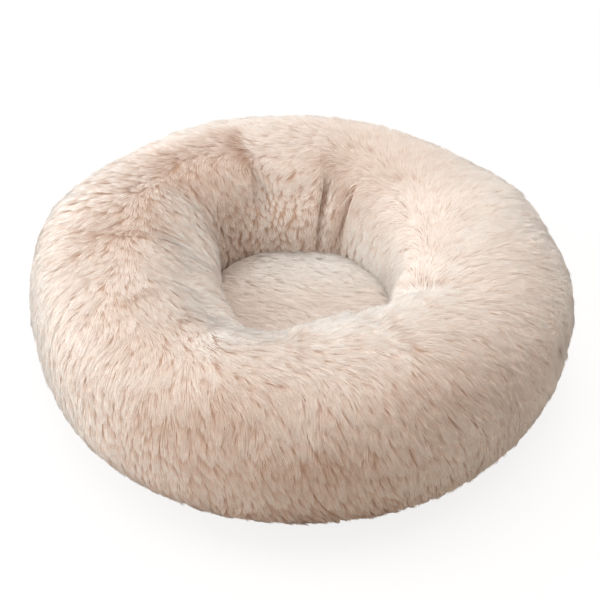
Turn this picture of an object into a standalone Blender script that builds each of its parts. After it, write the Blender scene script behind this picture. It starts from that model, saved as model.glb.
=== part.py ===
"""Round plush pet bed: a stuffed ring around a sunken cushion, on a flat base sheet.

The bed stands on the floor at z = 0, centred on the Z axis, and is seen from -Y.
Angles in the plan run anticlockwise from +X. A turn angle runs round the ring's
section from its crest: positive outwards, negative inwards, 90 at the widest line.
"""
import bpy
import bmesh
from math import asin, copysign, cos, degrees, hypot, pi, radians, sin, sqrt

# Overall sizes, in metres
BED_DIAMETER = 0.600
BED_HEIGHT = 0.160
RIM_WIDTH = 0.198
BELLY_HEIGHT = 0.072
SECTION_POWER = 0.75

# Clearances
CLEARANCE = 0.0003
SOFT_CLEARANCE = 0.0008
LINER_CLEARANCE = 0.0032
MERGE_DISTANCE = 0.00001

# Cloth thicknesses, plush with its pile lying down
PLUSH_THICKNESS = 0.012
LINER_THICKNESS = 0.0012
BASE_SHEET_THICKNESS = 0.0012
BASE_SHEET_SETBACK = 0.050
BASE_SEAM_ALLOWANCE = 0.006

# The seam where the ring's plush meets the cushion's plush
INNER_SEAM_HEIGHT = 0.036
CUSHION_CROWN_HEIGHT = 0.064
CUSHION_CROWN_POWER = 2.4
CUSHION_EDGE_POWER = 0.6
FILL_EDGE_POWER = 1.2
FILL_TOP_SETBACK = 0.017
CUSHION_RING_SHARES = (0.3, 0.55, 0.75, 0.89, 0.97, 1.0)
FILL_SHOULDER_HEIGHT = 0.027
FILL_BELLY_HEIGHT = 0.012
FILL_SIDE_SETBACK = 0.005

# Gathers sewn in by the seams, as depths shared out by plan angle in degrees
PUCKER_DEPTH = 0.010
PUCKER_DEPTH_SHARES = {103: 0.8, 72: 1.0, 26: 0.4, 332: 0.8, 298: 0.5, 250: 0.4, 210: 0.7, 177: 0.6}
PUCKER_HALF_WIDTH = radians(11)
PUCKER_TURN = radians(-50)
PUCKER_HALF_TURN = radians(62)
LUMP_DEPTH = 0.003
LUMP_WAVES = 8

# Seams that divide the ring's plush into two panels
RIM_SEAM_ANGLE = radians(103)
RIM_SEGMENTS = 60
RIM_TURN_STEPS = 12
LINER_TURN_STEPS = 8
LINER_BOTTOM_STEPS = 2

# Recess under the ring's outer side, where the zip runs
RECESS_START = radians(115)
RECESS_ARC = radians(72)
RECESS_RAMP = radians(6)
RECESS_HEIGHT = 0.0225
STUFFING_SLOT_SEGMENTS = 5

# Zip, a number 5 coil on woven tape
ZIP_STEP = radians(2)
ZIP_SETBACK = 0.004
TAPE_THICKNESS = 0.0008
TAPE_END_MARGIN = radians(1)
COIL_END_MARGIN = radians(5)
COIL_WIDTH = 0.0026
COIL_DEPTH = 0.0020
STOP_LENGTH = 0.003
STOP_WRAP = 0.0005
SLIDER_LENGTH = 0.011
SLIDER_WALL = 0.0012
SLIDER_FLANGE = 0.0012
BRIDGE_THICKNESS = 0.001
BRIDGE_WIDTH = 0.002
BRIDGE_OPENING = 0.0036
PULL_THICKNESS = 0.0012
PULL_WIDTH = 0.0056
PULL_LENGTH = 0.022
PULL_EYE_PLAY = 0.0004
PULL_TURN_PLAY = 0.0004
PULL_TIP_RADIUS = 0.0016

# Places worked out from the sizes above
RIM_CENTRE_RADIUS = (BED_DIAMETER - RIM_WIDTH) / 2
FLOOR_HEIGHT = BASE_SHEET_THICKNESS + CLEARANCE
BASE_SHEET_RADIUS = BED_DIAMETER / 2 - BASE_SHEET_SETBACK
COVER_FOOT_RADIUS = BASE_SHEET_RADIUS - BASE_SEAM_ALLOWANCE
LINER_INSET = PLUSH_THICKNESS + LINER_CLEARANCE
LINER_WALL_RADIUS = COVER_FOOT_RADIUS - PLUSH_THICKNESS / 2 - SOFT_CLEARANCE
FILL_INSET = LINER_INSET + 2 * LINER_THICKNESS + SOFT_CLEARANCE
FILL_WALL_RADIUS = LINER_WALL_RADIUS - LINER_THICKNESS - SOFT_CLEARANCE
RECESS_TOP = FLOOR_HEIGHT + RECESS_HEIGHT
TAPE_RADIUS = BASE_SHEET_RADIUS - ZIP_SETBACK
TAPE_OUTER_RADIUS = TAPE_RADIUS + TAPE_THICKNESS
COIL_RADIUS = TAPE_OUTER_RADIUS + CLEARANCE
COIL_OUTER_RADIUS = COIL_RADIUS + COIL_DEPTH
ZIP_HEIGHT = FLOOR_HEIGHT + RECESS_HEIGHT / 2
COIL_REACH = CLEARANCE / 2 + COIL_WIDTH
COIL_START = RECESS_START + COIL_END_MARGIN
COIL_ARC = RECESS_ARC - 2 * COIL_END_MARGIN
STOP_ARC = STOP_LENGTH / COIL_OUTER_RADIUS
STOP_GAP = CLEARANCE / COIL_OUTER_RADIUS
SLIDER_INNER_RADIUS = COIL_OUTER_RADIUS + CLEARANCE
SLIDER_OUTER_RADIUS = SLIDER_INNER_RADIUS + SLIDER_WALL
SLIDER_REST_ANGLE = COIL_START + SLIDER_LENGTH / 2 / COIL_OUTER_RADIUS
BRIDGE_CLEAR_HEIGHT = PULL_THICKNESS * sqrt(2) + 2 * PULL_TURN_PLAY
PULL_AXIS_RADIUS = SLIDER_OUTER_RADIUS + BRIDGE_CLEAR_HEIGHT / 2
BRIDGE_HALF_LENGTH = BRIDGE_OPENING / 2 + BRIDGE_THICKNESS
BRIDGE_REACH = hypot(BRIDGE_HALF_LENGTH, BRIDGE_CLEAR_HEIGHT / 2 + BRIDGE_THICKNESS)


def power(value):
    """Superellipse term: a flattened sine or cosine."""
    return copysign(abs(value) ** SECTION_POWER, value)


def bump(distance):
    """Smooth hump: 1 at zero distance, 0 from a distance of 1."""
    return max(0.0, 1 - distance * distance) ** 2


def angle_between(first, second):
    """Signed difference of two plan angles, between -pi and pi."""
    return (first - second + pi) % (2 * pi) - pi


def dent_depth(turn, azimuth):
    """How far gathers and lumps push the ring's surface in at one point."""
    depth = LUMP_DEPTH * (1 + sin(LUMP_WAVES * azimuth)) / 2
    across_turn = bump((turn - PUCKER_TURN) / PUCKER_HALF_TURN)
    for angle, share in PUCKER_DEPTH_SHARES.items():
        across_plan = bump(angle_between(azimuth, radians(angle)) / PUCKER_HALF_WIDTH)
        depth += PUCKER_DEPTH * share * across_turn * across_plan
    return depth


def recess_weight(azimuth, overrun):
    """1 along the zip's recess and its overrun, 0 away from it, with a short ramp at each end."""
    middle = RECESS_START + RECESS_ARC / 2
    past_end = abs(angle_between(azimuth, middle)) - RECESS_ARC / 2 - overrun
    return min(1.0, max(0.0, 1 - past_end / RECESS_RAMP))


def rim_point(turn, azimuth, inset, floor):
    """Radius and height of a point on the ring, inset from its outer surface."""
    out = (RIM_WIDTH / 2 - inset) * power(sin(turn))
    if cos(turn) > 0:
        up = (BED_HEIGHT - inset - BELLY_HEIGHT) * power(cos(turn))
    else:
        up = (BELLY_HEIGHT - floor) * power(cos(turn))
    reach = hypot(out, up)
    shrink = 1 - dent_depth(turn, azimuth) * (1 + up / reach) / 2 / reach
    return RIM_CENTRE_RADIUS + out * shrink, BELLY_HEIGHT + up * shrink


def outer_leg_point(turn, azimuth, inset):
    """A point on the ring's outer side, lifted over the zip's recess."""
    radius, height = rim_point(turn, azimuth, inset, FLOOR_HEIGHT + inset)
    lift = max(0.0, RECESS_TOP + inset - height)
    overrun = RECESS_RAMP if inset > 0 else 0.0
    return radius, height + lift * recess_weight(azimuth, overrun)


def turn_at_radius(radius, inset):
    """Turn angle under the outer side where the ring's section has this radius."""
    share = (radius - RIM_CENTRE_RADIUS) / (RIM_WIDTH / 2 - inset)
    return pi - asin(share ** (1 / SECTION_POWER))


def turn_at_inner_height(height):
    """Turn angle on the inner side, below the widest line, at this height."""
    share = (BELLY_HEIGHT - height) / (BELLY_HEIGHT - FLOOR_HEIGHT)
    return -pi / 2 - asin(share ** (1 / SECTION_POWER))


def spread(start, end, steps):
    """Evenly spaced values from start to end, both included."""
    return [start + (end - start) * step / steps for step in range(steps + 1)]


def in_plan(radius, azimuth, height):
    """Corner at a radius, plan angle and height."""
    return radius * cos(azimuth), radius * sin(azimuth), height


def cover_section(azimuth):
    """Outer face of the ring's plush, from its inner seam to its outer foot."""
    start = turn_at_inner_height(INNER_SEAM_HEIGHT)
    end = turn_at_radius(COVER_FOOT_RADIUS, 0)
    turns = spread(start, end, RIM_TURN_STEPS)
    section = [outer_leg_point(turn, azimuth, 0) for turn in turns]
    foot_height = FLOOR_HEIGHT + RECESS_HEIGHT * recess_weight(azimuth, 0.0)
    section[-1] = (COVER_FOOT_RADIUS, foot_height)
    return section


def inner_section(azimuth, inset, wall_radius, floor):
    """Closed section of what fills the ring, with an upright wall behind the zip."""
    start = turn_at_inner_height(INNER_SEAM_HEIGHT)
    end = turn_at_radius(wall_radius, inset)
    section = [rim_point(turn, azimuth, inset, floor) for turn in spread(-pi, start, LINER_BOTTOM_STEPS)]
    section += [outer_leg_point(turn, azimuth, inset) for turn in spread(start, end, LINER_TURN_STEPS)[1:]]
    section.append((wall_radius, floor))
    return section


def loft(name, sections, closed_plan, closed_section):
    """Mesh through rows of corners, each row one section of the shape."""
    mesh = bpy.data.meshes.new(name)
    form = bmesh.new()
    rows = [[form.verts.new(corner) for corner in row] for row in sections]
    plan_spans = list(zip(rows, rows[1:]))
    if closed_plan:
        plan_spans.append((rows[-1], rows[0]))
    for near, far in plan_spans:
        count = len(near) if closed_section else len(near) - 1
        for index in range(count):
            after = (index + 1) % len(near)
            form.faces.new((near[index], near[after], far[after], far[index]))
    form.normal_update()
    form.to_mesh(mesh)
    form.free()
    return mesh


def surface_material(name, colour, roughness, metallic=0.0):
    """Plain principled surface."""
    material = bpy.data.materials.new(name)
    material.use_nodes = True
    shader = material.node_tree.nodes["Principled BSDF"]
    shader.inputs["Base Color"].default_value = (*colour, 1.0)
    shader.inputs["Roughness"].default_value = roughness
    shader.inputs["Metallic"].default_value = metallic
    return material


def add_object(name, data, material, collection):
    """New object in a collection, with its own material."""
    item = bpy.data.objects.new(name, data)
    collection.objects.link(item)
    data.materials.append(material)
    return item


def thicken(item, thickness):
    """Solidify inwards, to an even thickness."""
    shell = item.modifiers.new("thickness", "SOLIDIFY")
    shell.thickness = thickness
    shell.offset = -1
    shell.use_even_offset = True


def make_base_sheet(bed, material):
    """Flat disc of coated cloth that the bed rests on."""
    mesh = bpy.data.meshes.new("base_sheet")
    form = bmesh.new()
    bmesh.ops.create_cone(
        form, cap_ends=True, segments=RIM_SEGMENTS,
        radius1=BASE_SHEET_RADIUS, radius2=BASE_SHEET_RADIUS, depth=BASE_SHEET_THICKNESS,
    )
    form.to_mesh(mesh)
    form.free()
    sheet = add_object("base_sheet", mesh, material, bed)
    sheet.location.z = BASE_SHEET_THICKNESS / 2
    return sheet


def make_rim_cover(name, seam_angle, bed, material):
    """Half of the ring's plush, from one seam to the other, open underneath."""
    edge_gap = CLEARANCE / (BED_DIAMETER / 2 - RIM_WIDTH)
    azimuths = spread(seam_angle, seam_angle + pi, RIM_SEGMENTS // 2)
    azimuths[0] += edge_gap
    azimuths[-1] -= edge_gap
    rows = []
    for azimuth in azimuths:
        rows.append([in_plan(radius, azimuth, height) for radius, height in cover_section(azimuth)])
    mesh = loft(name, rows, closed_plan=False, closed_section=False)
    mesh.shade_smooth()
    cover = add_object(name, mesh, material, bed)
    thicken(cover, PLUSH_THICKNESS)
    return cover


def plan_rows(section_at):
    """Rows of corners all round the plan, on the same grid as the ring's plush."""
    rows = []
    for step in range(RIM_SEGMENTS):
        azimuth = RIM_SEAM_ANGLE + 2 * pi * step / RIM_SEGMENTS
        rows.append([in_plan(radius, azimuth, height) for radius, height in section_at(azimuth)])
    return rows


def make_rim_liner(bed, material):
    """Thin inner bag of the ring, with a slot behind the zip for the stuffing."""
    floor = FLOOR_HEIGHT
    rows = plan_rows(lambda azimuth: inner_section(azimuth, LINER_INSET, LINER_WALL_RADIUS, floor))
    mesh = loft("rim_liner", rows, closed_plan=True, closed_section=True)
    form = bmesh.new()
    form.from_mesh(mesh)
    form.faces.ensure_lookup_table()
    per_row = LINER_BOTTOM_STEPS + LINER_TURN_STEPS + 2
    middle = round((RECESS_START + RECESS_ARC / 2 - RIM_SEAM_ANGLE) / (2 * pi) * RIM_SEGMENTS)
    first = middle - STUFFING_SLOT_SEGMENTS // 2
    slot = [form.faces[row * per_row + per_row - 2] for row in range(first, first + STUFFING_SLOT_SEGMENTS)]
    bmesh.ops.delete(form, geom=slot, context="FACES")
    form.to_mesh(mesh)
    form.free()
    mesh.shade_smooth()
    liner = add_object("rim_liner", mesh, material, bed)
    thicken(liner, LINER_THICKNESS)
    return liner


def make_rim_fill(bed, material):
    """Loose fibre that fills the ring, as one body."""
    floor = FLOOR_HEIGHT + LINER_THICKNESS + SOFT_CLEARANCE
    rows = plan_rows(lambda azimuth: inner_section(azimuth, FILL_INSET, FILL_WALL_RADIUS, floor))
    mesh = loft("rim_fill", rows, closed_plan=True, closed_section=True)
    mesh.shade_smooth()
    return add_object("rim_fill", mesh, material, bed)


def cushion_edge_radius(azimuth):
    """The cushion's seam lies just inside the ring's inner seam."""
    radius, _ = rim_point(turn_at_inner_height(INNER_SEAM_HEIGHT), azimuth, 0, FLOOR_HEIGHT)
    return radius - SOFT_CLEARANCE


def crown_section(reach, rise, edge_power):
    """Crowned top of the cushion, from near its centre to the height of its seam."""
    section = []
    for share in CUSHION_RING_SHARES:
        height = INNER_SEAM_HEIGHT + rise * (1 - share ** CUSHION_CROWN_POWER) ** edge_power
        section.append((reach * share, height))
    return section


def cushion_section(azimuth):
    """Outer face of the cushion's plush."""
    rise = CUSHION_CROWN_HEIGHT - INNER_SEAM_HEIGHT
    return crown_section(cushion_edge_radius(azimuth), rise, CUSHION_EDGE_POWER)


def close_centre(mesh, height, ring_size, last):
    """Fan that closes the hole round the axis, at the first or last ring of a loft."""
    form = bmesh.new()
    form.from_mesh(mesh)
    form.verts.ensure_lookup_table()
    place = ring_size - 1 if last else 0
    ring = [form.verts[row * ring_size + place] for row in range(RIM_SEGMENTS)]
    centre = form.verts.new((0, 0, height))
    for near, far in zip(ring, ring[1:] + ring[:1]):
        form.faces.new((near, far, centre))
    bmesh.ops.recalc_face_normals(form, faces=form.faces)
    form.to_mesh(mesh)
    form.free()


def make_cushion_cover(bed, material):
    """Crowned plush top of the cushion, drawn down to the seam at its edge."""
    rows = plan_rows(cushion_section)
    mesh = loft("cushion_cover", rows, closed_plan=True, closed_section=False)
    close_centre(mesh, CUSHION_CROWN_HEIGHT, len(CUSHION_RING_SHARES), last=False)
    mesh.shade_smooth()
    cover = add_object("cushion_cover", mesh, material, bed)
    thicken(cover, PLUSH_THICKNESS)
    return cover


def fill_section(azimuth):
    """Side of the cushion's stuffing, from near the top's centre to the base sheet."""
    edge = cushion_edge_radius(azimuth)
    top = edge - FILL_TOP_SETBACK
    rise = CUSHION_CROWN_HEIGHT - PLUSH_THICKNESS - SOFT_CLEARANCE - INNER_SEAM_HEIGHT
    section = crown_section(top, rise, FILL_EDGE_POWER)
    section.append((top, FILL_SHOULDER_HEIGHT))
    section.append((edge - FILL_SIDE_SETBACK, FILL_BELLY_HEIGHT))
    section.append((top, FLOOR_HEIGHT))
    return section


def make_cushion_fill(bed, material):
    """Fibre pad under the cushion's plush, standing on the base sheet."""
    rows = plan_rows(fill_section)
    ring_size = len(rows[0])
    mesh = loft("cushion_fill", rows, closed_plan=True, closed_section=False)
    top = CUSHION_CROWN_HEIGHT - PLUSH_THICKNESS - SOFT_CLEARANCE
    close_centre(mesh, top, ring_size, last=False)
    close_centre(mesh, FLOOR_HEIGHT, ring_size, last=True)
    mesh.shade_smooth()
    return add_object("cushion_fill", mesh, material, bed)


def make_arc_bar(name, radii, heights, start, arc, bed, material):
    """Bar of square section bent round the Z axis."""
    mesh = bpy.data.meshes.new(name)
    form = bmesh.new()
    inner, outer = radii
    low, high = heights
    corners = ((inner, low), (outer, low), (outer, high), (inner, high))
    verts = [form.verts.new(in_plan(radius, start, height)) for radius, height in corners]
    face = form.faces.new(verts)
    steps = max(1, round(arc / ZIP_STEP))
    bmesh.ops.spin(
        form, geom=[face, *face.edges, *verts], cent=(0, 0, 0), axis=(0, 0, 1), angle=arc, steps=steps,
    )
    bmesh.ops.recalc_face_normals(form, faces=form.faces)
    form.to_mesh(mesh)
    form.free()
    return add_object(name, mesh, material, bed)


def make_zip_chain(bed, tape_material, coil_material, stop_material):
    """Two tapes with their coils, and a stop across each end."""
    tape_start = RECESS_START + TAPE_END_MARGIN
    tape_arc = RECESS_ARC - 2 * TAPE_END_MARGIN
    tape_radii = (TAPE_RADIUS, TAPE_OUTER_RADIUS)
    coil_radii = (COIL_RADIUS, COIL_OUTER_RADIUS)
    half_gap = CLEARANCE / 2
    lower_tape = (FLOOR_HEIGHT, ZIP_HEIGHT - half_gap)
    upper_tape = (ZIP_HEIGHT + half_gap, RECESS_TOP - CLEARANCE)
    lower_coil = (ZIP_HEIGHT - COIL_REACH, ZIP_HEIGHT - half_gap)
    upper_coil = (ZIP_HEIGHT + half_gap, ZIP_HEIGHT + COIL_REACH)
    make_arc_bar("zip_tape_lower", tape_radii, lower_tape, tape_start, tape_arc, bed, tape_material)
    make_arc_bar("zip_tape_upper", tape_radii, upper_tape, tape_start, tape_arc, bed, tape_material)
    make_arc_bar("zip_coil_lower", coil_radii, lower_coil, COIL_START, COIL_ARC, bed, coil_material)
    make_arc_bar("zip_coil_upper", coil_radii, upper_coil, COIL_START, COIL_ARC, bed, coil_material)
    stop_radii = (COIL_RADIUS, COIL_OUTER_RADIUS + STOP_WRAP)
    stop_heights = (ZIP_HEIGHT - COIL_REACH - STOP_WRAP, ZIP_HEIGHT + COIL_REACH + STOP_WRAP)
    closed_end = COIL_START - STOP_GAP - STOP_ARC
    open_end = COIL_START + COIL_ARC + STOP_GAP
    make_arc_bar("zip_stop_closed_end", stop_radii, stop_heights, closed_end, STOP_ARC, bed, stop_material)
    make_arc_bar("zip_stop_open_end", stop_radii, stop_heights, open_end, STOP_ARC, bed, stop_material)


def outline_mesh(name, outlines, depth):
    """Flat outline in its own XY plane, filled and extruded evenly both ways along Z."""
    curve = bpy.data.curves.new(name, "CURVE")
    curve.dimensions = "2D"
    curve.fill_mode = "BOTH"
    curve.extrude = depth / 2
    for outline in outlines:
        spline = curve.splines.new("POLY")
        spline.points.add(len(outline) - 1)
        for point, (x, y) in zip(spline.points, outline):
            point.co = (x, y, 0, 1)
        spline.use_cyclic_u = True
    guide = bpy.data.objects.new(name, curve)
    bpy.context.scene.collection.objects.link(guide)
    bpy.context.view_layer.update()
    evaluated = guide.evaluated_get(bpy.context.evaluated_depsgraph_get())
    mesh = bpy.data.meshes.new_from_object(evaluated)
    mesh.name = name
    bpy.data.objects.remove(guide)
    form = bmesh.new()
    form.from_mesh(mesh)
    bmesh.ops.remove_doubles(form, verts=form.verts, dist=MERGE_DISTANCE)
    bmesh.ops.recalc_face_normals(form, faces=form.faces)
    form.to_mesh(mesh)
    form.free()
    return mesh


def slider_channel_outline():
    """Section of the slider: a plate over the coils, with a flange down each side."""
    side = COIL_REACH + CLEARANCE
    outer_side = side + SLIDER_FLANGE
    foot = TAPE_OUTER_RADIUS + CLEARANCE
    return (
        (foot, -outer_side), (SLIDER_OUTER_RADIUS, -outer_side),
        (SLIDER_OUTER_RADIUS, outer_side), (foot, outer_side),
        (foot, side), (SLIDER_INNER_RADIUS, side),
        (SLIDER_INNER_RADIUS, -side), (foot, -side),
    )


def bridge_outline():
    """Arch over the pull's crossbar, standing on the slider's plate."""
    foot = SLIDER_OUTER_RADIUS - SLIDER_WALL / 2
    ceiling = SLIDER_OUTER_RADIUS + BRIDGE_CLEAR_HEIGHT
    top = ceiling + BRIDGE_THICKNESS
    half_opening = BRIDGE_OPENING / 2
    shoulder = BRIDGE_HALF_LENGTH - BRIDGE_THICKNESS / 2
    shoulder_top = top - BRIDGE_THICKNESS / 2
    return (
        (foot, -BRIDGE_HALF_LENGTH), (shoulder_top, -BRIDGE_HALF_LENGTH), (top, -shoulder),
        (top, shoulder), (shoulder_top, BRIDGE_HALF_LENGTH), (foot, BRIDGE_HALF_LENGTH),
        (foot, half_opening), (ceiling, half_opening), (ceiling, -half_opening), (foot, -half_opening),
    )


def make_slider(bed, cutters, material):
    """Zip slider, turning about the bed's axis as it runs along the coils."""
    channel = outline_mesh("zip_slider", [slider_channel_outline()], SLIDER_LENGTH)
    slider = add_object("zip_slider", channel, material, bed)
    for vertex in channel.vertices:
        x, y, z = vertex.co
        vertex.co = (x, -z, y)
    bridge_mesh = outline_mesh("zip_slider_bridge", [bridge_outline()], BRIDGE_WIDTH)
    bridge = bpy.data.objects.new("zip_slider_bridge", bridge_mesh)
    cutters.objects.link(bridge)
    bridge.hide_render = True
    bridge.display_type = "WIRE"
    join = slider.modifiers.new("bridge", "BOOLEAN")
    join.operation = "UNION"
    join.solver = "EXACT"
    join.object = bridge
    bridge.parent = slider
    slider.location.z = ZIP_HEIGHT
    slider.rotation_euler.z = SLIDER_REST_ANGLE
    return slider


def pull_outlines():
    """Tab with a window behind its crossbar, in its own plane, along +X."""
    half_bar = PULL_THICKNESS / 2
    half_width = PULL_WIDTH / 2
    half_window = BRIDGE_WIDTH / 2 + PULL_EYE_PLAY
    window_end = BRIDGE_REACH + PULL_TURN_PLAY
    tip = PULL_LENGTH - half_bar
    outer = (
        (-half_bar, -half_width), (tip - PULL_TIP_RADIUS, -half_width), (tip, PULL_TIP_RADIUS - half_width),
        (tip, half_width - PULL_TIP_RADIUS), (tip - PULL_TIP_RADIUS, half_width), (-half_bar, half_width),
    )
    window = (
        (half_bar, -half_window), (window_end, -half_window),
        (window_end, half_window), (half_bar, half_window),
    )
    return [outer, window]


def make_pull(slider, bed, material):
    """Pull tab, hinged by its crossbar under the slider's bridge."""
    mesh = outline_mesh("zip_pull", pull_outlines(), PULL_THICKNESS)
    for vertex in mesh.vertices:
        x, y, z = vertex.co
        vertex.co = (x, -z, y)
    pull = add_object("zip_pull", mesh, material, bed)
    pull.parent = slider
    pull.location.x = PULL_AXIS_RADIUS
    pull.rotation_euler.z = -pi / 2
    return pull


def new_collection(name):
    collection = bpy.data.collections.new(name)
    bpy.context.scene.collection.children.link(collection)
    return collection


def build_bed():
    """Every piece of the bed, outermost first."""
    for item in list(bpy.data.objects):
        bpy.data.objects.remove(item)
    bed = new_collection("round_plush_pet_bed")
    cutters = new_collection("cutters")
    make_base_sheet(bed, surface_material("base_cloth", (0.58, 0.51, 0.43), 0.85))
    plush = surface_material("rim_plush", (0.86, 0.80, 0.73), 0.9)
    make_rim_cover("rim_cover_left", RIM_SEAM_ANGLE, bed, plush)
    plush_right = surface_material("rim_plush_right", (0.84, 0.78, 0.71), 0.9)
    make_rim_cover("rim_cover_right", RIM_SEAM_ANGLE + pi, bed, plush_right)
    make_rim_liner(bed, surface_material("liner_cloth", (0.90, 0.90, 0.88), 0.9))
    make_rim_fill(bed, surface_material("rim_fibre", (0.95, 0.95, 0.94), 1.0))
    make_cushion_cover(bed, surface_material("cushion_plush", (0.88, 0.82, 0.75), 0.9))
    make_cushion_fill(bed, surface_material("cushion_fibre", (0.95, 0.95, 0.94), 1.0))
    tape = surface_material("zip_tape", (0.74, 0.67, 0.58), 0.85)
    coil = surface_material("zip_coil", (0.70, 0.63, 0.54), 0.45)
    stop = surface_material("zip_stop", (0.70, 0.66, 0.58), 0.35, metallic=1.0)
    make_zip_chain(bed, tape, coil, stop)
    enamel = surface_material("zip_enamel", (0.66, 0.59, 0.50), 0.35, metallic=0.3)
    slider = make_slider(bed, cutters, enamel)
    make_pull(slider, bed, surface_material("zip_pull_enamel", (0.64, 0.57, 0.48), 0.35, metallic=0.3))


build_bed()
slider_travel = COIL_ARC - SLIDER_LENGTH / COIL_OUTER_RADIUS
print("slider turns", round(degrees(slider_travel), 2), "degrees about the bed's axis")
pull_place = in_plan(PULL_AXIS_RADIUS, SLIDER_REST_ANGLE, ZIP_HEIGHT)
print("pull axis at", [round(value, 5) for value in pull_place])
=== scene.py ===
# %% [markdown]
# # A round plush pet bed
#
# The real bed is a stuffed ring of long-pile plush sewn round a sunken cushion, on a flat base cloth.
# A zip under the back edge lets its owner take the stuffing out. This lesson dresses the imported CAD
# bed: every new piece takes its place from the CAD sizes, and rides on a CAD body.

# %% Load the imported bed
from math import asin, cos, pi, radians, sin

import bmesh
import bpy
import numpy as np
from mathutils import Matrix, Vector, noise


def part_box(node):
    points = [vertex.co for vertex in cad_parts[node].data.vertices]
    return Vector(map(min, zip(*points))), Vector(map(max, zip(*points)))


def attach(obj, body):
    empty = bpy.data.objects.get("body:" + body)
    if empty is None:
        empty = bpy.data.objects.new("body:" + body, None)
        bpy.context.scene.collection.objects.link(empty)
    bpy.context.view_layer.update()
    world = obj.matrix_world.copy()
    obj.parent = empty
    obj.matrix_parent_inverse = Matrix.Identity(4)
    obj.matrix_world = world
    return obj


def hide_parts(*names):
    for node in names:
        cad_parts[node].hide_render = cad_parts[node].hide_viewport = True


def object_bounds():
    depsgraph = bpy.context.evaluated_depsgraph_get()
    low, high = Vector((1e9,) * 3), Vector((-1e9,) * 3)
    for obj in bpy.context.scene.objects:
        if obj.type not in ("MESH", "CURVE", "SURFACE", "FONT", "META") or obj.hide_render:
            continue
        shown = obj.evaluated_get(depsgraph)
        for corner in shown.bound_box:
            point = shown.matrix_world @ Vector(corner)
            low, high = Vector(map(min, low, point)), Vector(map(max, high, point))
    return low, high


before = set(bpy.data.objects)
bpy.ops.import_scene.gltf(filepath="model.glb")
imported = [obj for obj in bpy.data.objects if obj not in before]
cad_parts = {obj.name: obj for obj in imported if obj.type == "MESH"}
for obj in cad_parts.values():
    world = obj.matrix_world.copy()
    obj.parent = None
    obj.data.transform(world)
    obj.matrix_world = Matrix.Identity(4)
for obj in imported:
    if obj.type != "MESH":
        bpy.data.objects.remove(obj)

cad_box = [list(corner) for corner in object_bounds()]
print("CAD box in metres:", cad_box)

# %% [markdown]
# ## Sizes
#
# The ring follows a rule: its section is a superellipse that runs round a circle. The overall sizes
# are read from the CAD boxes, and only the sizes that a box can't give are written here, in metres.

# %% Sizes of the ring and cushion
BASE_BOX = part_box("base_sheet")
TAPE_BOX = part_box("zip_tape_upper")
BED_RADIUS = 0.300
BED_HEIGHT = cad_box[1][2]
RING_WIDTH = 0.198
RING_RADIUS = BED_RADIUS - RING_WIDTH / 2
BELLY_HEIGHT = 0.072
FLOOR_HEIGHT = BASE_BOX[1][2] + 0.0003
BASE_RADIUS = (BASE_BOX[1][0] - BASE_BOX[0][0]) / 2
FOOT_RADIUS = BASE_RADIUS - 0.006
SEAM_HEIGHT = 0.036
CROWN_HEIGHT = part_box("cushion_cover")[1][2]
RECESS_TOP = TAPE_BOX[1][2] + 0.0003
PILE_DEPTH = 0.0055
print("ring radius, width, height in mm:", RING_RADIUS * 1000, RING_WIDTH * 1000, BED_HEIGHT * 1000)

# %% [markdown]
# ## Node trees written as sums
#
# The materials and the Geometry Nodes trees below are long sums. A Value stands for what a node gives,
# and adding or multiplying values adds the node that does so. A Tree adds any other node: an input
# takes a plain number, or a Value that is linked to it.


# %% Values
def srgb(red, green, blue):
    """Linear colour from the usual 0 to 255 values, all above 10."""
    return tuple(((value / 255 + 0.055) / 1.055) ** 2.4 for value in (red, green, blue)) + (1.0,)


def plug(socket, value):
    if isinstance(value, Value):
        value.tree.links.new(value.socket, socket)
    else:
        socket.default_value = value


def in_use(sockets, name):
    """First socket in use with this name, or the first of any name."""
    return [socket for socket in sockets if socket.enabled and name in (None, socket.name)][0]


class Value:
    """What a node gives: a number, vector, colour, shader or geometry."""

    def __init__(self, socket):
        self.socket, self.tree = socket, socket.id_data

    def math(self, operation, *inputs, scale=None):
        """Works on numbers, or on vectors where this value is one."""
        kind = "ShaderNodeVectorMath" if self.socket.type == "VECTOR" else "ShaderNodeMath"
        node = self.tree.nodes.new(kind)
        node.operation = operation
        for socket, value in zip(node.inputs, inputs):
            plug(socket, value)
        if scale is not None:
            plug(node.inputs["Scale"], scale)
        return Value(node.outputs["Value" if operation in ("DOT_PRODUCT", "LENGTH") else 0])

    def __add__(self, other):
        return self.math("ADD", self, other)

    def __sub__(self, other):
        return self.math("SUBTRACT", self, other)

    def __rsub__(self, other):
        return self.math("SUBTRACT", other, self)

    def __mul__(self, other):
        if self.socket.type == "VECTOR":
            return self.math("SCALE", self, scale=other)
        return self.math("MULTIPLY", self, other)

    def at_least(self, other):
        return self.math("MAXIMUM", self, other)

    def wave(self, operation="SINE"):
        return self.math(operation, self)

    def unit(self):
        return self.math("NORMALIZE", self)


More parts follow.
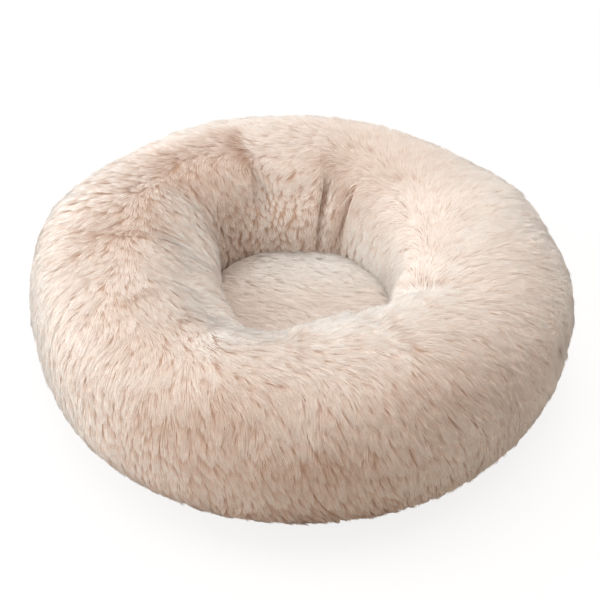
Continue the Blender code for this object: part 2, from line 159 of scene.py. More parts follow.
# %% Trees
class Tree:
    """Adds nodes to a node tree, and gives back their outputs as values."""

    def __init__(self, tree):
        self.tree = tree

    def add(self, kind, inputs=(), out=None, **settings):
        node = self.tree.nodes.new(kind)
        for name, value in settings.items():
            setattr(node, name, value)
        for name, value in dict(inputs).items():
            plug(in_use(node.inputs, name), value)
        return Value(in_use(node.outputs, out))

    def place(self):
        return self.add("ShaderNodeTexCoord", out="Object")

    def vector(self, x=0.0, y=0.0, z=0.0):
        return self.add("ShaderNodeCombineXYZ", {"X": x, "Y": y, "Z": z})

    def split(self, vector):
        parts = self.add("ShaderNodeSeparateXYZ", {"Vector": vector}).socket.node.outputs
        return [Value(part) for part in parts]

    def noise(self, place, **numbers):
        return self.add("ShaderNodeTexNoise", {"Vector": place, **numbers}, out="Fac")

    def map(self, value, **numbers):
        """Map Range, its limits given as To_Min and so on."""
        limits = {name.replace("_", " "): number for name, number in numbers.items()}
        return self.add("ShaderNodeMapRange", {"Value": value, **limits})

    def ramp(self, share, *stops):
        """Colour ramp. Each stop is a position and a colour in 0 to 255 values."""
        colour = self.add("ShaderNodeValToRGB", {"Fac": share})
        elements = colour.socket.node.color_ramp.elements
        for element, (position, tone) in zip(elements, (stops[0], stops[-1])):
            element.position, element.color = position, srgb(*tone)
        for position, tone in stops[1:-1]:
            elements.new(position).color = srgb(*tone)
        return colour

    def mix(self, share, first, second, **settings):
        inputs = {"Factor": share, "A": first, "B": second}
        return self.add("ShaderNodeMix", inputs, data_type="RGBA", **settings)

    def mix_shaders(self, share, first, second):
        mixed = self.add("ShaderNodeMixShader")
        for socket, value in zip(mixed.socket.node.inputs, (share, first, second)):
            plug(socket, value)
        return mixed

    def named(self, name, kind="FLOAT"):
        return self.add("GeometryNodeInputNamedAttribute", {"Name": name}, "Attribute", data_type=kind)

    def chance(self, low, high, seed, owner=None):
        inputs = {"Min": low, "Max": high, "Seed": seed}
        if owner is not None:
            inputs["ID"] = owner
        return self.add("FunctionNodeRandomValue", inputs, "Value", data_type="FLOAT")

    def keep(self, geometry, items):
        """Captures fields on the points, so that the strands can read them later."""
        node = self.tree.nodes.new("GeometryNodeCaptureAttribute")
        node.domain = "POINT"
        plug(node.inputs[0], geometry)
        for index, (name, value) in enumerate(items.items()):
            node.capture_items.new("VECTOR" if value.socket.type == "VECTOR" else "FLOAT", name)
            plug(node.inputs[index + 1], value)
        kept = {name: Value(node.outputs[index + 1]) for index, name in enumerate(items)}
        return Value(node.outputs[0]), kept

    def store(self, geometry, name, value, kind="FLOAT", domain="POINT"):
        inputs = {"Geometry": geometry, "Name": name, "Value": value}
        return self.add("GeometryNodeStoreNamedAttribute", inputs, data_type=kind, domain=domain)

    def finish(self, geometry, given):
        """Gives the geometry its material and hands it over."""
        done = self.add("GeometryNodeSetMaterial", {"Geometry": geometry, "Material": given["Material"]})
        plug(self.tree.nodes.new("NodeGroupOutput").inputs["Geometry"], done)
        return self.tree


# %% Trees for geometry and for materials
def geometry_tree(name, numbers, counts):
    """Tree that takes named numbers, counts and a material, and its inputs by name."""
    group = bpy.data.node_groups.new(name, "GeometryNodeTree")
    inputs = [("Geometry", "Geometry", None)]
    inputs += [(label, "Float", value) for label, value in numbers.items()]
    inputs += [(label, "Int", value) for label, value in counts.items()]
    for label, kind, value in (*inputs, ("Material", "Material", None)):
        socket = group.interface.new_socket(label, in_out="INPUT", socket_type="NodeSocket" + kind)
        if value is not None:
            socket.default_value = value
    group.interface.new_socket("Geometry", in_out="OUTPUT", socket_type="NodeSocketGeometry")
    given = {socket.name: Value(socket) for socket in group.nodes.new("NodeGroupInput").outputs}
    return Tree(group), given


def new_material(name, numbers):
    """Material whose shader has these numbers, with its tree and its shader's inputs."""
    material = bpy.data.materials.new(name)
    material.use_nodes = True
    shader = material.node_tree.nodes["Principled BSDF"].inputs
    for label, value in numbers.items():
        shader[label].default_value = value
    return material, Tree(material.node_tree), shader


def speckled(name, numbers, marks, stops, gloss=None, relief=None):
    """Material whose colour, and whose gloss or relief, follow one fine noise."""
    material, tree, shader = new_material(name, numbers)
    fleck = tree.noise(tree.place(), **marks)
    plug(shader["Base Color"], tree.ramp(fleck, *stops))
    if gloss:
        plug(shader["Roughness"], tree.map(fleck, To_Min=gloss[0], To_Max=gloss[1]))
    if relief:
        bumps = {"Height": fleck, "Strength": relief[0], "Distance": relief[1]}
        plug(shader["Normal"], tree.add("ShaderNodeBump", bumps))
    return material


print("helpers for trees and materials are ready")

# %% [markdown]
# ## Camera
#
# The camera stands where a fit to the bed's outline put the photographer's: 40 degrees above the floor,
# with a slight roll. Its lens gives the photograph's perspective at 1.2 metres from the bed's middle.

# %% Camera at the photograph's angle
CAMERA_TILT = radians(39.52)
CAMERA_ROLL = radians(1.89)
CAMERA_REACH = 1.2
SENSOR_WIDTH = 36
PIXEL_FOCUS = 1060.8
PIXELS_WIDE = 600
LOOK_AT = Vector((0.0017, 0, 0.0610))
forward = Vector((0, cos(CAMERA_TILT), -sin(CAMERA_TILT)))
upward = Vector((0, sin(CAMERA_TILT), cos(CAMERA_TILT)))
right = Vector((1, 0, 0))
camera_right = right * cos(CAMERA_ROLL) + upward * sin(CAMERA_ROLL)
camera_up = upward * cos(CAMERA_ROLL) - right * sin(CAMERA_ROLL)
camera = bpy.data.objects.new("camera", bpy.data.cameras.new("camera"))
bpy.context.scene.collection.objects.link(camera)
camera.data.sensor_width = SENSOR_WIDTH
camera.data.lens = SENSOR_WIDTH * PIXEL_FOCUS / PIXELS_WIDE
turned = Matrix((camera_right, camera_up, -forward)).transposed().to_4x4()
camera.matrix_world = Matrix.Translation(LOOK_AT - forward * CAMERA_REACH) @ turned
bpy.context.scene.camera = camera
bpy.context.scene.view_settings.view_transform = "Standard"
print("camera in metres:", [round(value, 3) for value in camera.location])

# %% [markdown]
# ## Floor and light
#
# Seven large, soft lamps stand round the bed. Those on the left and overhead are the strongest, as the
# photograph's pale left wall and bright right inner wall show, and the one in front is weak and warm.
# The world fills the rest with a warm tone. The floor glows white for the camera alone, so it stays a
# plain page that still takes the bed's shadow, and sends only a little brownish light back to the bed.

# %% Floor
WHITE = (1, 1, 1, 1)
FLOOR_HALF = 12.0
FLOOR_DROP = 0.0005
FLOOR_TONE = (0.44, 0.34, 0.26, 1)
GLOW_REACH = {"From_Min": 0.45, "From_Max": 1.1, "To_Min": 0.82}


def seen_directly(tree):
    """1 for the rays that come from the camera, also by way of a mirror or glass."""
    rays = tree.add("ShaderNodeLightPath").socket.node.outputs
    camera_ray, glossy, through = (
        Value(rays[f"Is {name} Ray"]) for name in ("Camera", "Glossy", "Transmission")
    )
    return camera_ray.at_least(glossy).at_least(through)


def make_floor():
    mesh = bpy.data.meshes.new("floor")
    corners = [(x * FLOOR_HALF, y * FLOOR_HALF, 0) for x, y in ((-1, -1), (1, -1), (1, 1), (-1, 1))]
    mesh.from_pydata(corners, [], [(0, 1, 2, 3)])
    floor = bpy.data.objects.new("floor", mesh)
    bpy.context.scene.collection.objects.link(floor)
    floor.location.z = -FLOOR_DROP
    material, tree, shader = new_material("floor_white", {"Roughness": 0.9, "Specular IOR Level": 0.0})
    seen = seen_directly(tree)
    place = tree.place()
    fade = tree.map(place.math("LENGTH", place), **GLOW_REACH)
    plug(shader["Base Color"], tree.mix(seen, FLOOR_TONE, WHITE))
    lit = Value(material.node_tree.nodes["Principled BSDF"].outputs[0])
    glowing = tree.mix_shaders(seen * fade, lit, tree.add("ShaderNodeEmission"))
    plug(material.node_tree.nodes["Material Output"].inputs["Surface"], glowing)
    mesh.materials.append(material)


make_floor()
print("floor is", 2 * FLOOR_HALF, "metres wide")

# %% World and lamps
FILL_TONE = (1.0, 0.77, 0.59, 1)
FILL_STRENGTH = {"To_Min": 0.03, "To_Max": 0.42}
LAMP_TONE = (1.0, 1.0, 0.99)
LAMPS = {
    # name: place and size in metres, then power in watts
    "left_low": ((-1.9, 0.0, 0.5), 1.6, 22), "left_high": ((-1.6, 0.1, 1.4), 1.6, 10),
    "front_left": ((-1.5, -1.2, 0.8), 1.6, 12), "overhead": ((0.1, 0.1, 2.2), 2.0, 22),
    "front": ((0.2, -1.8, 1.0), 1.6, 6), "right": ((1.7, 0.1, 0.9), 1.6, 7),
    "back": ((0.0, 1.5, 1.6), 1.6, 14),
}
OTHER_TONES = {"front": (1.0, 0.86, 0.72)}


def make_world():
    world = bpy.data.worlds.new("soft_fill")
    bpy.context.scene.world = world
    world.use_nodes = True
    tree = Tree(world.node_tree)
    fill = world.node_tree.nodes["Background"]
    fill.inputs["Color"].default_value = FILL_TONE
    way = tree.add("ShaderNodeTexCoord", out="Generated")
    plug(fill.inputs["Strength"], tree.map(tree.split(way)[2], **FILL_STRENGTH))
    page = tree.add("ShaderNodeBackground", {"Color": WHITE})
    behind = tree.mix_shaders(seen_directly(tree), Value(fill.outputs[0]), page)
    plug(world.node_tree.nodes["World Output"].inputs["Surface"], behind)


make_world()
for name, (place, size, power) in LAMPS.items():
    lamp = bpy.data.objects.new(name, bpy.data.lights.new(name, "AREA"))
    bpy.context.scene.collection.objects.link(lamp)
    lamp.data.shape = "DISK"
    lamp.data.size = size
    lamp.data.energy = power
    lamp.data.color = OTHER_TONES.get(name, LAMP_TONE)
    lamp.location = place
    lamp.rotation_euler = (LOOK_AT - Vector(place)).to_track_quat("-Z", "Y").to_euler()
print("world and", len(LAMPS), "lamps are in place")

# %% [markdown]
# ## The ring's form
#
# A superellipse is rounder than a box and fuller than an ellipse, as a stuffed tube is. A turn runs
# round the section: 0 degrees at the crest, 90 at the belly of the outer wall and -90 at that of the
# inner wall. Gathers where the seams pull in, narrow creases and broad lumps of fibre push the surface
# in. The same rule serves every layer of the ring: each layer is the same shape with a larger inset.

# %% Sizes and places of gathers, swells and folds
SECTION_POWER = 0.75
LUMP_DEPTH = 0.003
LUMP_WAVES = 8
PUCKER_DEPTH = 0.010
PUCKER_SHARES = {
    # plan angle in degrees: share of the depth that a gather has there
    148: 0.5, 107: 0.8, 72: 1.0, 26: 0.4, 332: 1.0, 262: 0.9, 252: 1.0, 240: 1.2, 226: 0.8, 210: 0.9,
    177: 0.8,
}
PUCKER_HALF_WIDTH = 11
PUCKER_REACH = (-50, 62)
CREST_DIP = {
    # plan angle in degrees: how far the inner edge of the crest sags there, in metres
    0: 0.0, 195: 0.0, 215: 0.008, 233: 0.012, 243: 0.012, 250: 0.011, 256: 0.010, 263: 0.009, 270: 0.006,
    277: 0.002, 285: 0.0, 291: 0.002, 297: 0.005, 303: 0.008, 315: 0.009, 330: 0.005, 345: 0.0,
}
SWELL = {
    # plan angle in degrees: how far the outer wall stands out there, in metres
    0: 0.003, 12: 0.0, 25: 0.005, 38: -0.005, 50: -0.003, 65: 0.001, 75: -0.002, 107: 0.003, 120: 0.001,
    135: -0.003, 145: 0.0, 155: 0.0025, 170: 0.004, 182: -0.0045, 195: -0.007, 208: -0.006, 220: -0.003,
    232: 0.001, 255: 0.002, 290: 0.002, 310: -0.001, 340: 0.0, 350: 0.003,
}
SWELL_REACH = (58, 95)
FOOT_SWELL = {
    # plan angle in degrees: how far the foot of the inner wall stands out over the cushion there, in metres
    0: 0.002, 30: 0.004, 60: 0.005, 77: 0.016, 90: 0.020, 98: 0.020, 110: 0.014, 121: 0.009, 130: 0.0,
    136: -0.004, 142: -0.008, 147: -0.007, 155: 0.002, 167: 0.013, 175: 0.017, 186: 0.020, 202: 0.021,
    216: 0.020, 235: 0.012, 255: 0.004, 275: 0.0, 345: 0.0,
}
FOOT_REACH = (-88, 34)
LOW_SWELL = {
    # plan angle in degrees: how far the low outer wall stands out there, in metres
    0: 0.0, 188: 0.0, 200: -0.005, 212: -0.006, 222: -0.001, 235: 0.004, 250: 0.007, 263: 0.0085, 280: 0.008,
    290: 0.007, 300: 0.004, 312: 0.001, 325: 0.0,
}
LOW_REACH = (95, 45)
CREASE_DEPTH = 0.006
CREASES = (
    # plan angle, slant, half width, middle turn and half turn in degrees, then the share of the depth
    (108, 0.18, 3.0, -48, 50, 1.0), (77, 0, 3.4, -62, 48, 1.6), (63, 0, 3.2, -66, 40, 1.7),
    (332, 0, 4.0, -38, 34, 0.9), (229, 0, 2.6, -11, 9, 0.7), (299, 0, 4.0, -30, 40, 1.5),
    (267, 0, 3.5, -28, 34, 0.9), (181, 0, 2.8, -7, 17, 0.7), (213, 0, 2.6, -3, 9, 0.6),
)
BACK_CREASES = CREASES[:3]
RECESS_MIDDLE = radians(151)
RECESS_HALF_ARC = radians(36)
RECESS_RAMP = radians(6)


# %% Soft steps, patches and tables
def bump(distance):
    """1 at a distance of 0, falling softly to 0 at 1."""
    return np.maximum(0, 1 - distance * distance) ** 2


def angle_between(first, second):
    return (first - second + pi) % (2 * pi) - pi


def near_azimuth(azimuth, angle, half_width):
    """1 at a plan angle, falling to 0 a half width beside it, both in degrees."""
    return bump(angle_between(azimuth, radians(angle)) / radians(half_width))


def near_turn(turn, middle, half_turn):
    return bump((turn - radians(middle)) / radians(half_turn))


def past_turn(turn, start, span):
    """0 at a turn and 1 a span further on, in degrees. A negative span rises toward smaller turns."""
    return np.clip((turn - radians(start)) / radians(span), 0, 1)


def from_table(table, azimuth, half_width):
    """Values chosen by plan angle in degrees, joined smoothly round the bed."""
    spots = np.degrees(np.asarray(azimuth)) % 360
    first = list(table.values())[0]
    total = 0
    for offset in np.linspace(-half_width, half_width, 7):
        total = total + np.interp((spots + offset) % 360, [*table, 360], [*table.values(), first])
    return total / 7


def patches(table, turn, azimuth, along=near_turn):
    """Sum of soft patches, each a plan angle, half width, two numbers for along, and an amount."""
    total = 0
    for angle, half_width, first, second, amount in table:
        total = total + amount * near_azimuth(azimuth, angle, half_width) * along(turn, first, second)
    return total


# %% Gathers, folds and the zip's recess
def dent_depth(turn, azimuth):
    """How far lumps, gathers and the sagging crest press the surface in, less what swells out."""
    depth = LUMP_DEPTH * (1 + np.sin(LUMP_WAVES * azimuth)) / 2
    gathered = near_turn(turn, *PUCKER_REACH)
    depth = depth + from_table(CREST_DIP, azimuth, 4) * gathered
    depth = depth - from_table(SWELL, azimuth, 4) * near_turn(turn, *SWELL_REACH)
    for angle, share in PUCKER_SHARES.items():
        depth = depth + PUCKER_DEPTH * share * gathered * near_azimuth(azimuth, angle, PUCKER_HALF_WIDTH)
    return depth


def past_crease(azimuth, angle, slant, turn):
    """Angle from a crease's line, which can slant as it runs down the inner wall."""
    return angle_between(azimuth, radians(angle) + slant * np.clip(-turn, 0, radians(80)))


def crease_depth(turn, azimuth):
    depth = 0
    for angle, slant, half_width, middle, half_turn, share in CREASES:
        across = bump(past_crease(azimuth, angle, slant, turn) / radians(half_width))
        depth = depth + CREASE_DEPTH * share * across * near_turn(turn, middle, half_turn)
    return depth


def crease_mask(turn, azimuth, half_width, folds=CREASES):
    """1 on the folds' lines, falling to 0 at a half width in degrees beside them."""
    mask = 0
    for angle, slant, _, middle, half_turn, _ in folds:
        across = bump(past_crease(azimuth, angle, slant, turn) / radians(half_width))
        mask = np.maximum(mask, across * np.sqrt(near_turn(turn, middle, half_turn)))
    return mask


def recess_weight(azimuth):
    """1 above the zip, falling to 0 along a ramp at both ends of it."""
    past_end = np.abs(angle_between(azimuth, RECESS_MIDDLE)) - RECESS_HALF_ARC - RECESS_RAMP
    return np.clip(1 - past_end / RECESS_RAMP, 0, 1)


# %% Surface of the ring
def signed_power(value):
    return np.sign(value) * np.abs(value) ** SECTION_POWER


def ring_point(turn, azimuth, inset, floor):
    """Corners on the ring, inset from the CAD outline, with its underside at the floor height given."""
    out = (RING_WIDTH / 2 - inset) * signed_power(np.sin(turn))
    crest = BED_HEIGHT - inset - BELLY_HEIGHT
    up = np.where(np.cos(turn) > 0, crest, BELLY_HEIGHT - floor) * signed_power(np.cos(turn))
    reach = np.hypot(out, up)
    shrink = 1 - dent_depth(turn, azimuth) * (1 + up / reach) / 2 / reach
    radius, height = RING_RADIUS + out * shrink, BELLY_HEIGHT + up * shrink
    radius = radius - from_table(FOOT_SWELL, azimuth, 5) * near_turn(turn, *FOOT_REACH)
    radius = radius + from_table(LOW_SWELL, azimuth, 5) * near_turn(turn, *LOW_REACH)
    under = (turn > 0) & (height < RECESS_TOP + inset)
    height = np.where(under, height + (RECESS_TOP + inset - height) * recess_weight(azimuth), height)
    return np.stack([radius * np.cos(azimuth), radius * np.sin(azimuth), height], axis=-1)


def turn_at_inner_height(height, floor):
    return -pi / 2 - asin(((BELLY_HEIGHT - height) / (BELLY_HEIGHT - floor)) ** (1 / SECTION_POWER))


def turn_at_radius(radius, inset):
    return pi - asin(((radius - RING_RADIUS) / (RING_WIDTH / 2 - inset)) ** (1 / SECTION_POWER))


print("crest of the ring at", ring_point(np.array(0.0), np.array(0.0), 0, FLOOR_HEIGHT).round(4))

# %% [markdown]
# ## Meshes from grids
#
# Each skin is a grid of corners, one row for each step round the bed. The grid becomes a mesh with
# plain faces, more faces close it where it has to be closed, and numbers that belong to the corners
# go with it as named attributes.


# %% Grids and the faces that close them
def mesh_from_grid(name, grid, closed_rows=True):
    """Mesh from rows of corners, with the last row joined to the first where the rows close."""
    rows, count = grid.shape[:2]
    mesh = bpy.data.meshes.new(name)
    faces = []
    for row in range(rows if closed_rows else rows - 1):
        here, after = row * count, (row + 1) % rows * count
        faces += [(here + i, here + i + 1, after + i + 1, after + i) for i in range(count - 1)]
    mesh.from_pydata(grid.reshape(-1, 3).tolist(), [], faces)
    return mesh


def close(mesh, faces):
    """Adds faces by the numbers of their corners, then turns all faces outward."""
    form = bmesh.new()
    form.from_mesh(mesh)
    form.verts.ensure_lookup_table()
    for corners in faces:
        form.faces.new([form.verts[index] for index in corners])
    bmesh.ops.recalc_face_normals(form, faces=form.faces)
    form.to_mesh(mesh)
    form.free()


def caps(rows, count):
    """Two faces that fill the first and the last column of a closed grid."""
    return [[row * count + place for row in range(rows)] for place in (0, count - 1)]


def side_strip(rows, count, closed_rows):
    """Faces from the last column of a grid back to its first."""
    strip = []
    for row in range(rows if closed_rows else rows - 1):
        here, after = row * count, (row + 1) % rows * count
        strip.append((here + count - 1, here, after, after + count - 1))
    return strip


def turned_grid(section, azimuth):
    """Section of radius and height pairs, one for each plan angle or the same for all, turned round."""
    sections = section if isinstance(section[0], list) else [section] * len(azimuth)
    return np.array([
        [(cos(angle) * radius, sin(angle) * radius, height) for radius, height in ring]
        for angle, ring in zip(azimuth, sections)
    ])


# %% Attributes, pieces and directions
def give(mesh, name, values, kind="FLOAT"):
    """Stores one number or vector for each corner as a named attribute."""
    attribute = mesh.attributes.new(name, kind, "POINT")
    field = "vector" if kind == "FLOAT_VECTOR" else "value"
    attribute.data.foreach_set(field, np.asarray(values, dtype=np.float32).ravel())


def add_piece(name, mesh, material=None):
    item = bpy.data.objects.new(name, mesh)
    bpy.context.scene.collection.objects.link(item)
    if material:
        mesh.materials.append(material)
    return item


def thicken(piece, name, thickness):
    wall = piece.modifiers.new(name, "SOLIDIFY")
    wall.thickness = thickness
    wall.offset = -1


def unit(vectors):
    return vectors / np.maximum(np.linalg.norm(vectors, axis=-1, keepdims=True), 1e-9)


def turned_by(vectors, normals, angle):
    return unit(vectors * np.cos(angle)[..., None] + np.cross(normals, vectors) * np.sin(angle)[..., None])


def wander(places, scale, seed):
    """Smooth noise between -1 and 1 for each place, at a scale in metres."""
    offset = Vector((seed * 7.3, seed * 3.1, seed * 5.7))
    flat = places.reshape(-1, 3)
    values = [noise.noise(Vector(place) / scale + offset) for place in flat.tolist()]
    return np.array(values).reshape(places.shape[:-1])


def ring_grid(turn, azimuth, inset, floor):
    """Corners for all turns at all plan angles, with both as grids and the ways down and round."""
    turns, azimuths = np.meshgrid(turn, azimuth)

    def at(turn_step, azimuth_step):
        return ring_point(turns + turn_step, azimuths + azimuth_step, inset, floor)

    step = 1e-4
    down = unit(at(step, 0) - at(-step, 0))
    round_bed = unit(at(0, step) - at(0, -step))
    return at(0, 0), turns, azimuths, down, round_bed


print("helpers for meshes are ready")

# %% [markdown]
# ## Which way the pile lies
#
# Long pile lies the way it was last stroked. On this bed it runs down the outer wall, down into the
# hollow on the inner walls, and from left to right along the front crest, with a parting along the
# crest elsewhere. The script gives each point of the skin a direction, a length, a lift, a density, a
# shade, how far its strands gather into locks, and how far they curl. The shade is the pile's tone with
# painted light and shade in it: it is paler on crests, and painted shade darkens folds and the hollow.
# ZONE_SHARES names the zones of the ring, and the tables of patches and slopes place smaller patches of
# painted light and shade, with a little of the plush's own tone, that the photograph shows.

# %% Tables of the pile's lie and tone
CREST_STROKE = {
    # plan angle in degrees: how strongly the pile lies round the bed along the crest there
    0: 1.0, 30: 0.9, 60: 0.9, 90: 1.0, 115: 0.8, 135: 0.5, 165: 0.45, 180: 0.6, 200: 1.2, 240: 2.2, 300: 2.4,
    330: 1.6,
}
PARTING = {
    # plan angle in degrees: the turn in degrees where the pile parts there
    0: -38, 30: -34, 60: -20, 90: -8, 120: -6, 170: -4, 200: -6, 240: -14, 285: -22, 320: -34,
}
PILE_LENGTH = 0.027
RECESS_PILE_LENGTH = 0.008
PILE_BASES = (0.23, 0.24, 0.6, 0.75)
ZONE_SHARES = {
    # zone: what it adds to the lift, shade, locks and curl of PILE_BASES. The shade is painted shade in the
    # creases and at the hollow's foot, paler on the tuft, and on the back wall and the left parting partly
    # painted shade and partly the plush's own browner tone.
    "inner": (-0.05, 0, 0, 0), "standing": (0.15, 0, 0, 0), "fringe": (0.3, 0, 0, 0),
    "tuft": (0.34, 0.3, 0, 0), "inner_back": (0.1, 0, 0.3, 1.1), "low_front": (0, 0, 0.4, -0.2),
    "left_panel": (0, -0.38, 0.15, 0), "right_panel": (0, -0.24, 0, 0), "left_parting": (0, -0.3, 0.5, 0.3),
    "on_creases": (0, -0.4, 0, 0), "hollow_foot": (0, -0.4, 0, 0),
}
TUFT_PATCHES = ((243, 6, -5, 12, 1.0),)
FRINGE_PATCHES = ((287, 26, -50, 16, 1.0), (328, 14, -50, 16, 1.0))
LIFT_PATCHES = ((282, 62, -38, 26, 0.08),)
TONE_AND_PAINTED_LIGHT_PATCHES = (
    # plan angle, half width, turn and half turn in degrees, then the shade added: painted light where it is
    # positive and painted shade where it is negative, with a little of the plush's own tone
    (208, 36, 1, 42, -0.26), (232, 14, 6, 26, -0.12), (125, 30, -10, 32, -0.12), (125, 38, -72, 28, 0.18),
    (42, 34, -22, 42, -0.12), (340, 52, 6, 62, -0.14), (318, 20, 26, 42, -0.1), (302, 22, 26, 34, -0.14),
    (250, 20, 40, 30, -0.16), (305, 30, 78, 32, 0.2), (155, 26, 22, 30, 0.2), (85, 30, -14, 30, -0.22),
    (178, 22, -8, 24, -0.14), (0, 26, -34, 22, -0.2), (350, 30, 0, 40, -0.1), (38, 26, -82, 26, 0.2),
    (200, 40, -66, 40, -0.12), (258, 14, 24, 24, -0.12), (292, 18, 24, 32, -0.1), (109, 9, -14, 30, -0.3),
    (66, 16, -6, 26, -0.12), (276, 10, -28, 26, 0.26), (334, 14, -46, 18, -0.14), (182, 22, -70, 20, -0.1),
    (98, 16, -84, 22, 0.12), (275, 45, 98, 18, -0.16), (68, 16, -34, 24, -0.15), (170, 16, 18, 26, 0.26),
    (238, 20, 70, 28, 0.06), (275, 12, 56, 22, -0.12), (310, 20, 96, 26, 0.3), (73, 3, -62, 40, 0.25),
    (70, 55, 0, 55, -0.2), (35, 42, -25, 55, -0.2), (287, 26, -46, 24, 0.2), (328, 14, -46, 24, 0.2),
)
PAINTED_LIGHT_SLOPES = (
    # plan angle, half width, starting turn and span in degrees, then the shade added: painted shade on the
    # front face, along the bottom edge and between the back folds, and painted light on the low left and
    # right walls
    (67, 5, -35, -15, -0.2), (270, 80, -35, 50, -0.34), (270, 80, 68, 25, 0.34), (210, 35, 50, 25, 0.3),
    (315, 40, 50, 25, 0.12), (268, 60, 86, 16, -0.5),
)
LOCK_SLOPES = ((30, 100, -60, 25, -0.22), (180, 50, 20, 25, -0.25))


# %% Zones and numbers of the pile
def bell(distance, half_width):
    return np.exp(-((distance / radians(half_width)) ** 2))


def pile_zones(turn, azimuth, past, stroke):
    """How far each point lies in each zone, from 0 to 1. past is the turn past the parting."""
    past_seam = np.degrees(past_crease(azimuth, *CREASES[0][:2], turn))
    on_left = np.clip(past_seam / 1.5, 0, 1) * np.clip((44 - past_seam) / 12, 0, 1)
    on_right = np.clip(-past_seam / 1.5, 0, 1) * np.clip((75 + past_seam) / 24, 0, 1)
    return {
        "inner": past_turn(turn, -35, -25),
        "standing": bell(past, 15) * np.clip(1 - np.abs(stroke), 0, 1),
        "fringe": patches(FRINGE_PATCHES, turn, azimuth),
        "tuft": patches(TUFT_PATCHES, turn, azimuth),
        "inner_back": near_azimuth(azimuth, 105, 75) * past_turn(turn, -25, -25),
        "low_front": near_azimuth(azimuth, 255, 110) * past_turn(turn, 25, 40),
        "left_panel": on_left * past_turn(turn, 10, -10),
        "right_panel": on_right * past_turn(turn, -8, -34),
        "left_parting": near_azimuth(azimuth, 165, 42) * bell(past - radians(12), 36),
        "on_creases": crease_mask(turn, azimuth, 2.5),
        "hollow_foot": past_turn(turn, -96, -18),
    }


def ring_pile(turn, azimuth, places):
    """Shares along the turn and along the azimuth, then the pile's numbers by name."""
    parting = np.radians(from_table(PARTING, azimuth, 15)) + radians(13) * wander(places, 0.07, 8)
    past = turn - parting
    stroke = from_table(CREST_STROKE, azimuth, 12)
    zones = pile_zones(turn, azimuth, past, stroke)
    lift, shade, locks, curl = (
        base + sum(zones[zone] * shares[column] for zone, shares in ZONE_SHARES.items())
        for column, base in enumerate(PILE_BASES)
    )
    beside_fold = crease_mask(turn, azimuth, 7, BACK_CREASES)
    lift = (lift + patches(LIFT_PATCHES, turn, azimuth)) * (1 - 0.4 * beside_fold)
    sideways = (stroke + 0.2 * wander(places, 0.05, 9)) * bell(past, 26) + 0.32 * past_turn(past, 0, 60)
    sideways = sideways + 0.35 * near_azimuth(azimuth, 88, 30) * past_turn(past, 0, -40)
    length = PILE_LENGTH * (1 - 0.48 * zones["inner_back"]) * (1 - 0.2 * zones["low_front"])
    length = length * (1 - 0.25 * crease_mask(turn, azimuth, 3))
    beside_zip = np.abs(angle_between(azimuth, RECESS_MIDDLE)) < RECESS_HALF_ARC + radians(3.5)
    # The patches and slopes paint light and shade into the pile's tone.
    shade = shade + patches(TONE_AND_PAINTED_LIGHT_PATCHES, turn, azimuth) + patches(PAINTED_LIGHT_SLOPES, turn, azimuth, past_turn)
    thinning = (1 - 0.5 * past_turn(turn, 110, 15)) * (1 - 0.8 * crease_mask(turn, azimuth, 1.2))
    return np.tanh(past / radians(22)), sideways * (1 - beside_fold), {
        "pile_length": np.where(beside_zip & (turn > radians(100)), RECESS_PILE_LENGTH, length),
        "pile_lift": lift + 0.35 * past_turn(turn, -108, -14), "pile_density": thinning,
        "pile_tone_and_painted_light": shade, "pile_curl": curl,
        "pile_locks": locks + patches(LOCK_SLOPES, turn, azimuth, past_turn),
    }


print("zones of the pile:", *ZONE_SHARES)

# %% [markdown]
# ## The plush skin of the ring
#
# The plush is woven cloth with the pile standing on it. The cloth itself is a thin, darker skin that
# shows only in the gaps, about a centimetre under the outline of the lying pile. It is a shell in two
# panels, as it is sewn. The panels' join lies under the pile, a little beside the slanting crease that
# the photograph shows on the back inner wall.

# %% Shell of the ring
SEAM_ANGLE = radians(103)
SKIN_THICKNESS = 0.002
RING_ROWS = 360
TURN_STEPS = 56
SECTORS = 10
VECTORS = ("pile_flow", "pile_normal")


def ring_skin():
    """Corners of the whole skin, and the numbers that the pile reads there."""
    azimuth = SEAM_ANGLE + np.linspace(0, 2 * pi, RING_ROWS + 1)
    floor = FLOOR_HEIGHT + PILE_DEPTH
    seam, foot = turn_at_inner_height(SEAM_HEIGHT, floor), turn_at_radius(FOOT_RADIUS, PILE_DEPTH)
    turn = np.linspace(seam, foot, TURN_STEPS + 1)
    grid, turns, azimuths, down, round_bed = ring_grid(turn, azimuth, PILE_DEPTH, floor)
    normal = unit(np.cross(down, round_bed))
    grid = grid - normal * crease_depth(turns, azimuths)[..., None]
    grid[-1] = grid[0]
    along_turn, sideways, numbers = ring_pile(turns, azimuths, grid)
    angle = 0.5 * wander(grid, 0.045, 1) + 0.3 * wander(grid, 0.018, 2)
    angle = angle * (1 - crease_mask(turns, azimuths, 7, BACK_CREASES))
    flow = unit(down * along_turn[..., None] + round_bed * sideways[..., None])
    numbers["pile_flow"] = turned_by(flow, normal, angle)
    numbers["pile_tone_and_painted_light"] = numbers["pile_tone_and_painted_light"] + 0.06 * wander(grid, 0.05, 3)
    numbers["pile_normal"] = unit(normal + np.array([0, 0, 0.8]) * past_turn(turns, -85, -25)[..., None])
    numbers["girth"] = np.linalg.norm(np.diff(grid, axis=1, prepend=grid[:, :1]), axis=-1).cumsum(axis=1)
    return grid, numbers


skin_grid, skin_numbers = ring_skin()


def skin_mesh(name, rows, closed_rows):
    mesh = mesh_from_grid(name, skin_grid[rows], closed_rows)
    for key, values in skin_numbers.items():
        give(mesh, key, values[rows], "FLOAT_VECTOR" if key in VECTORS else "FLOAT")
    return mesh


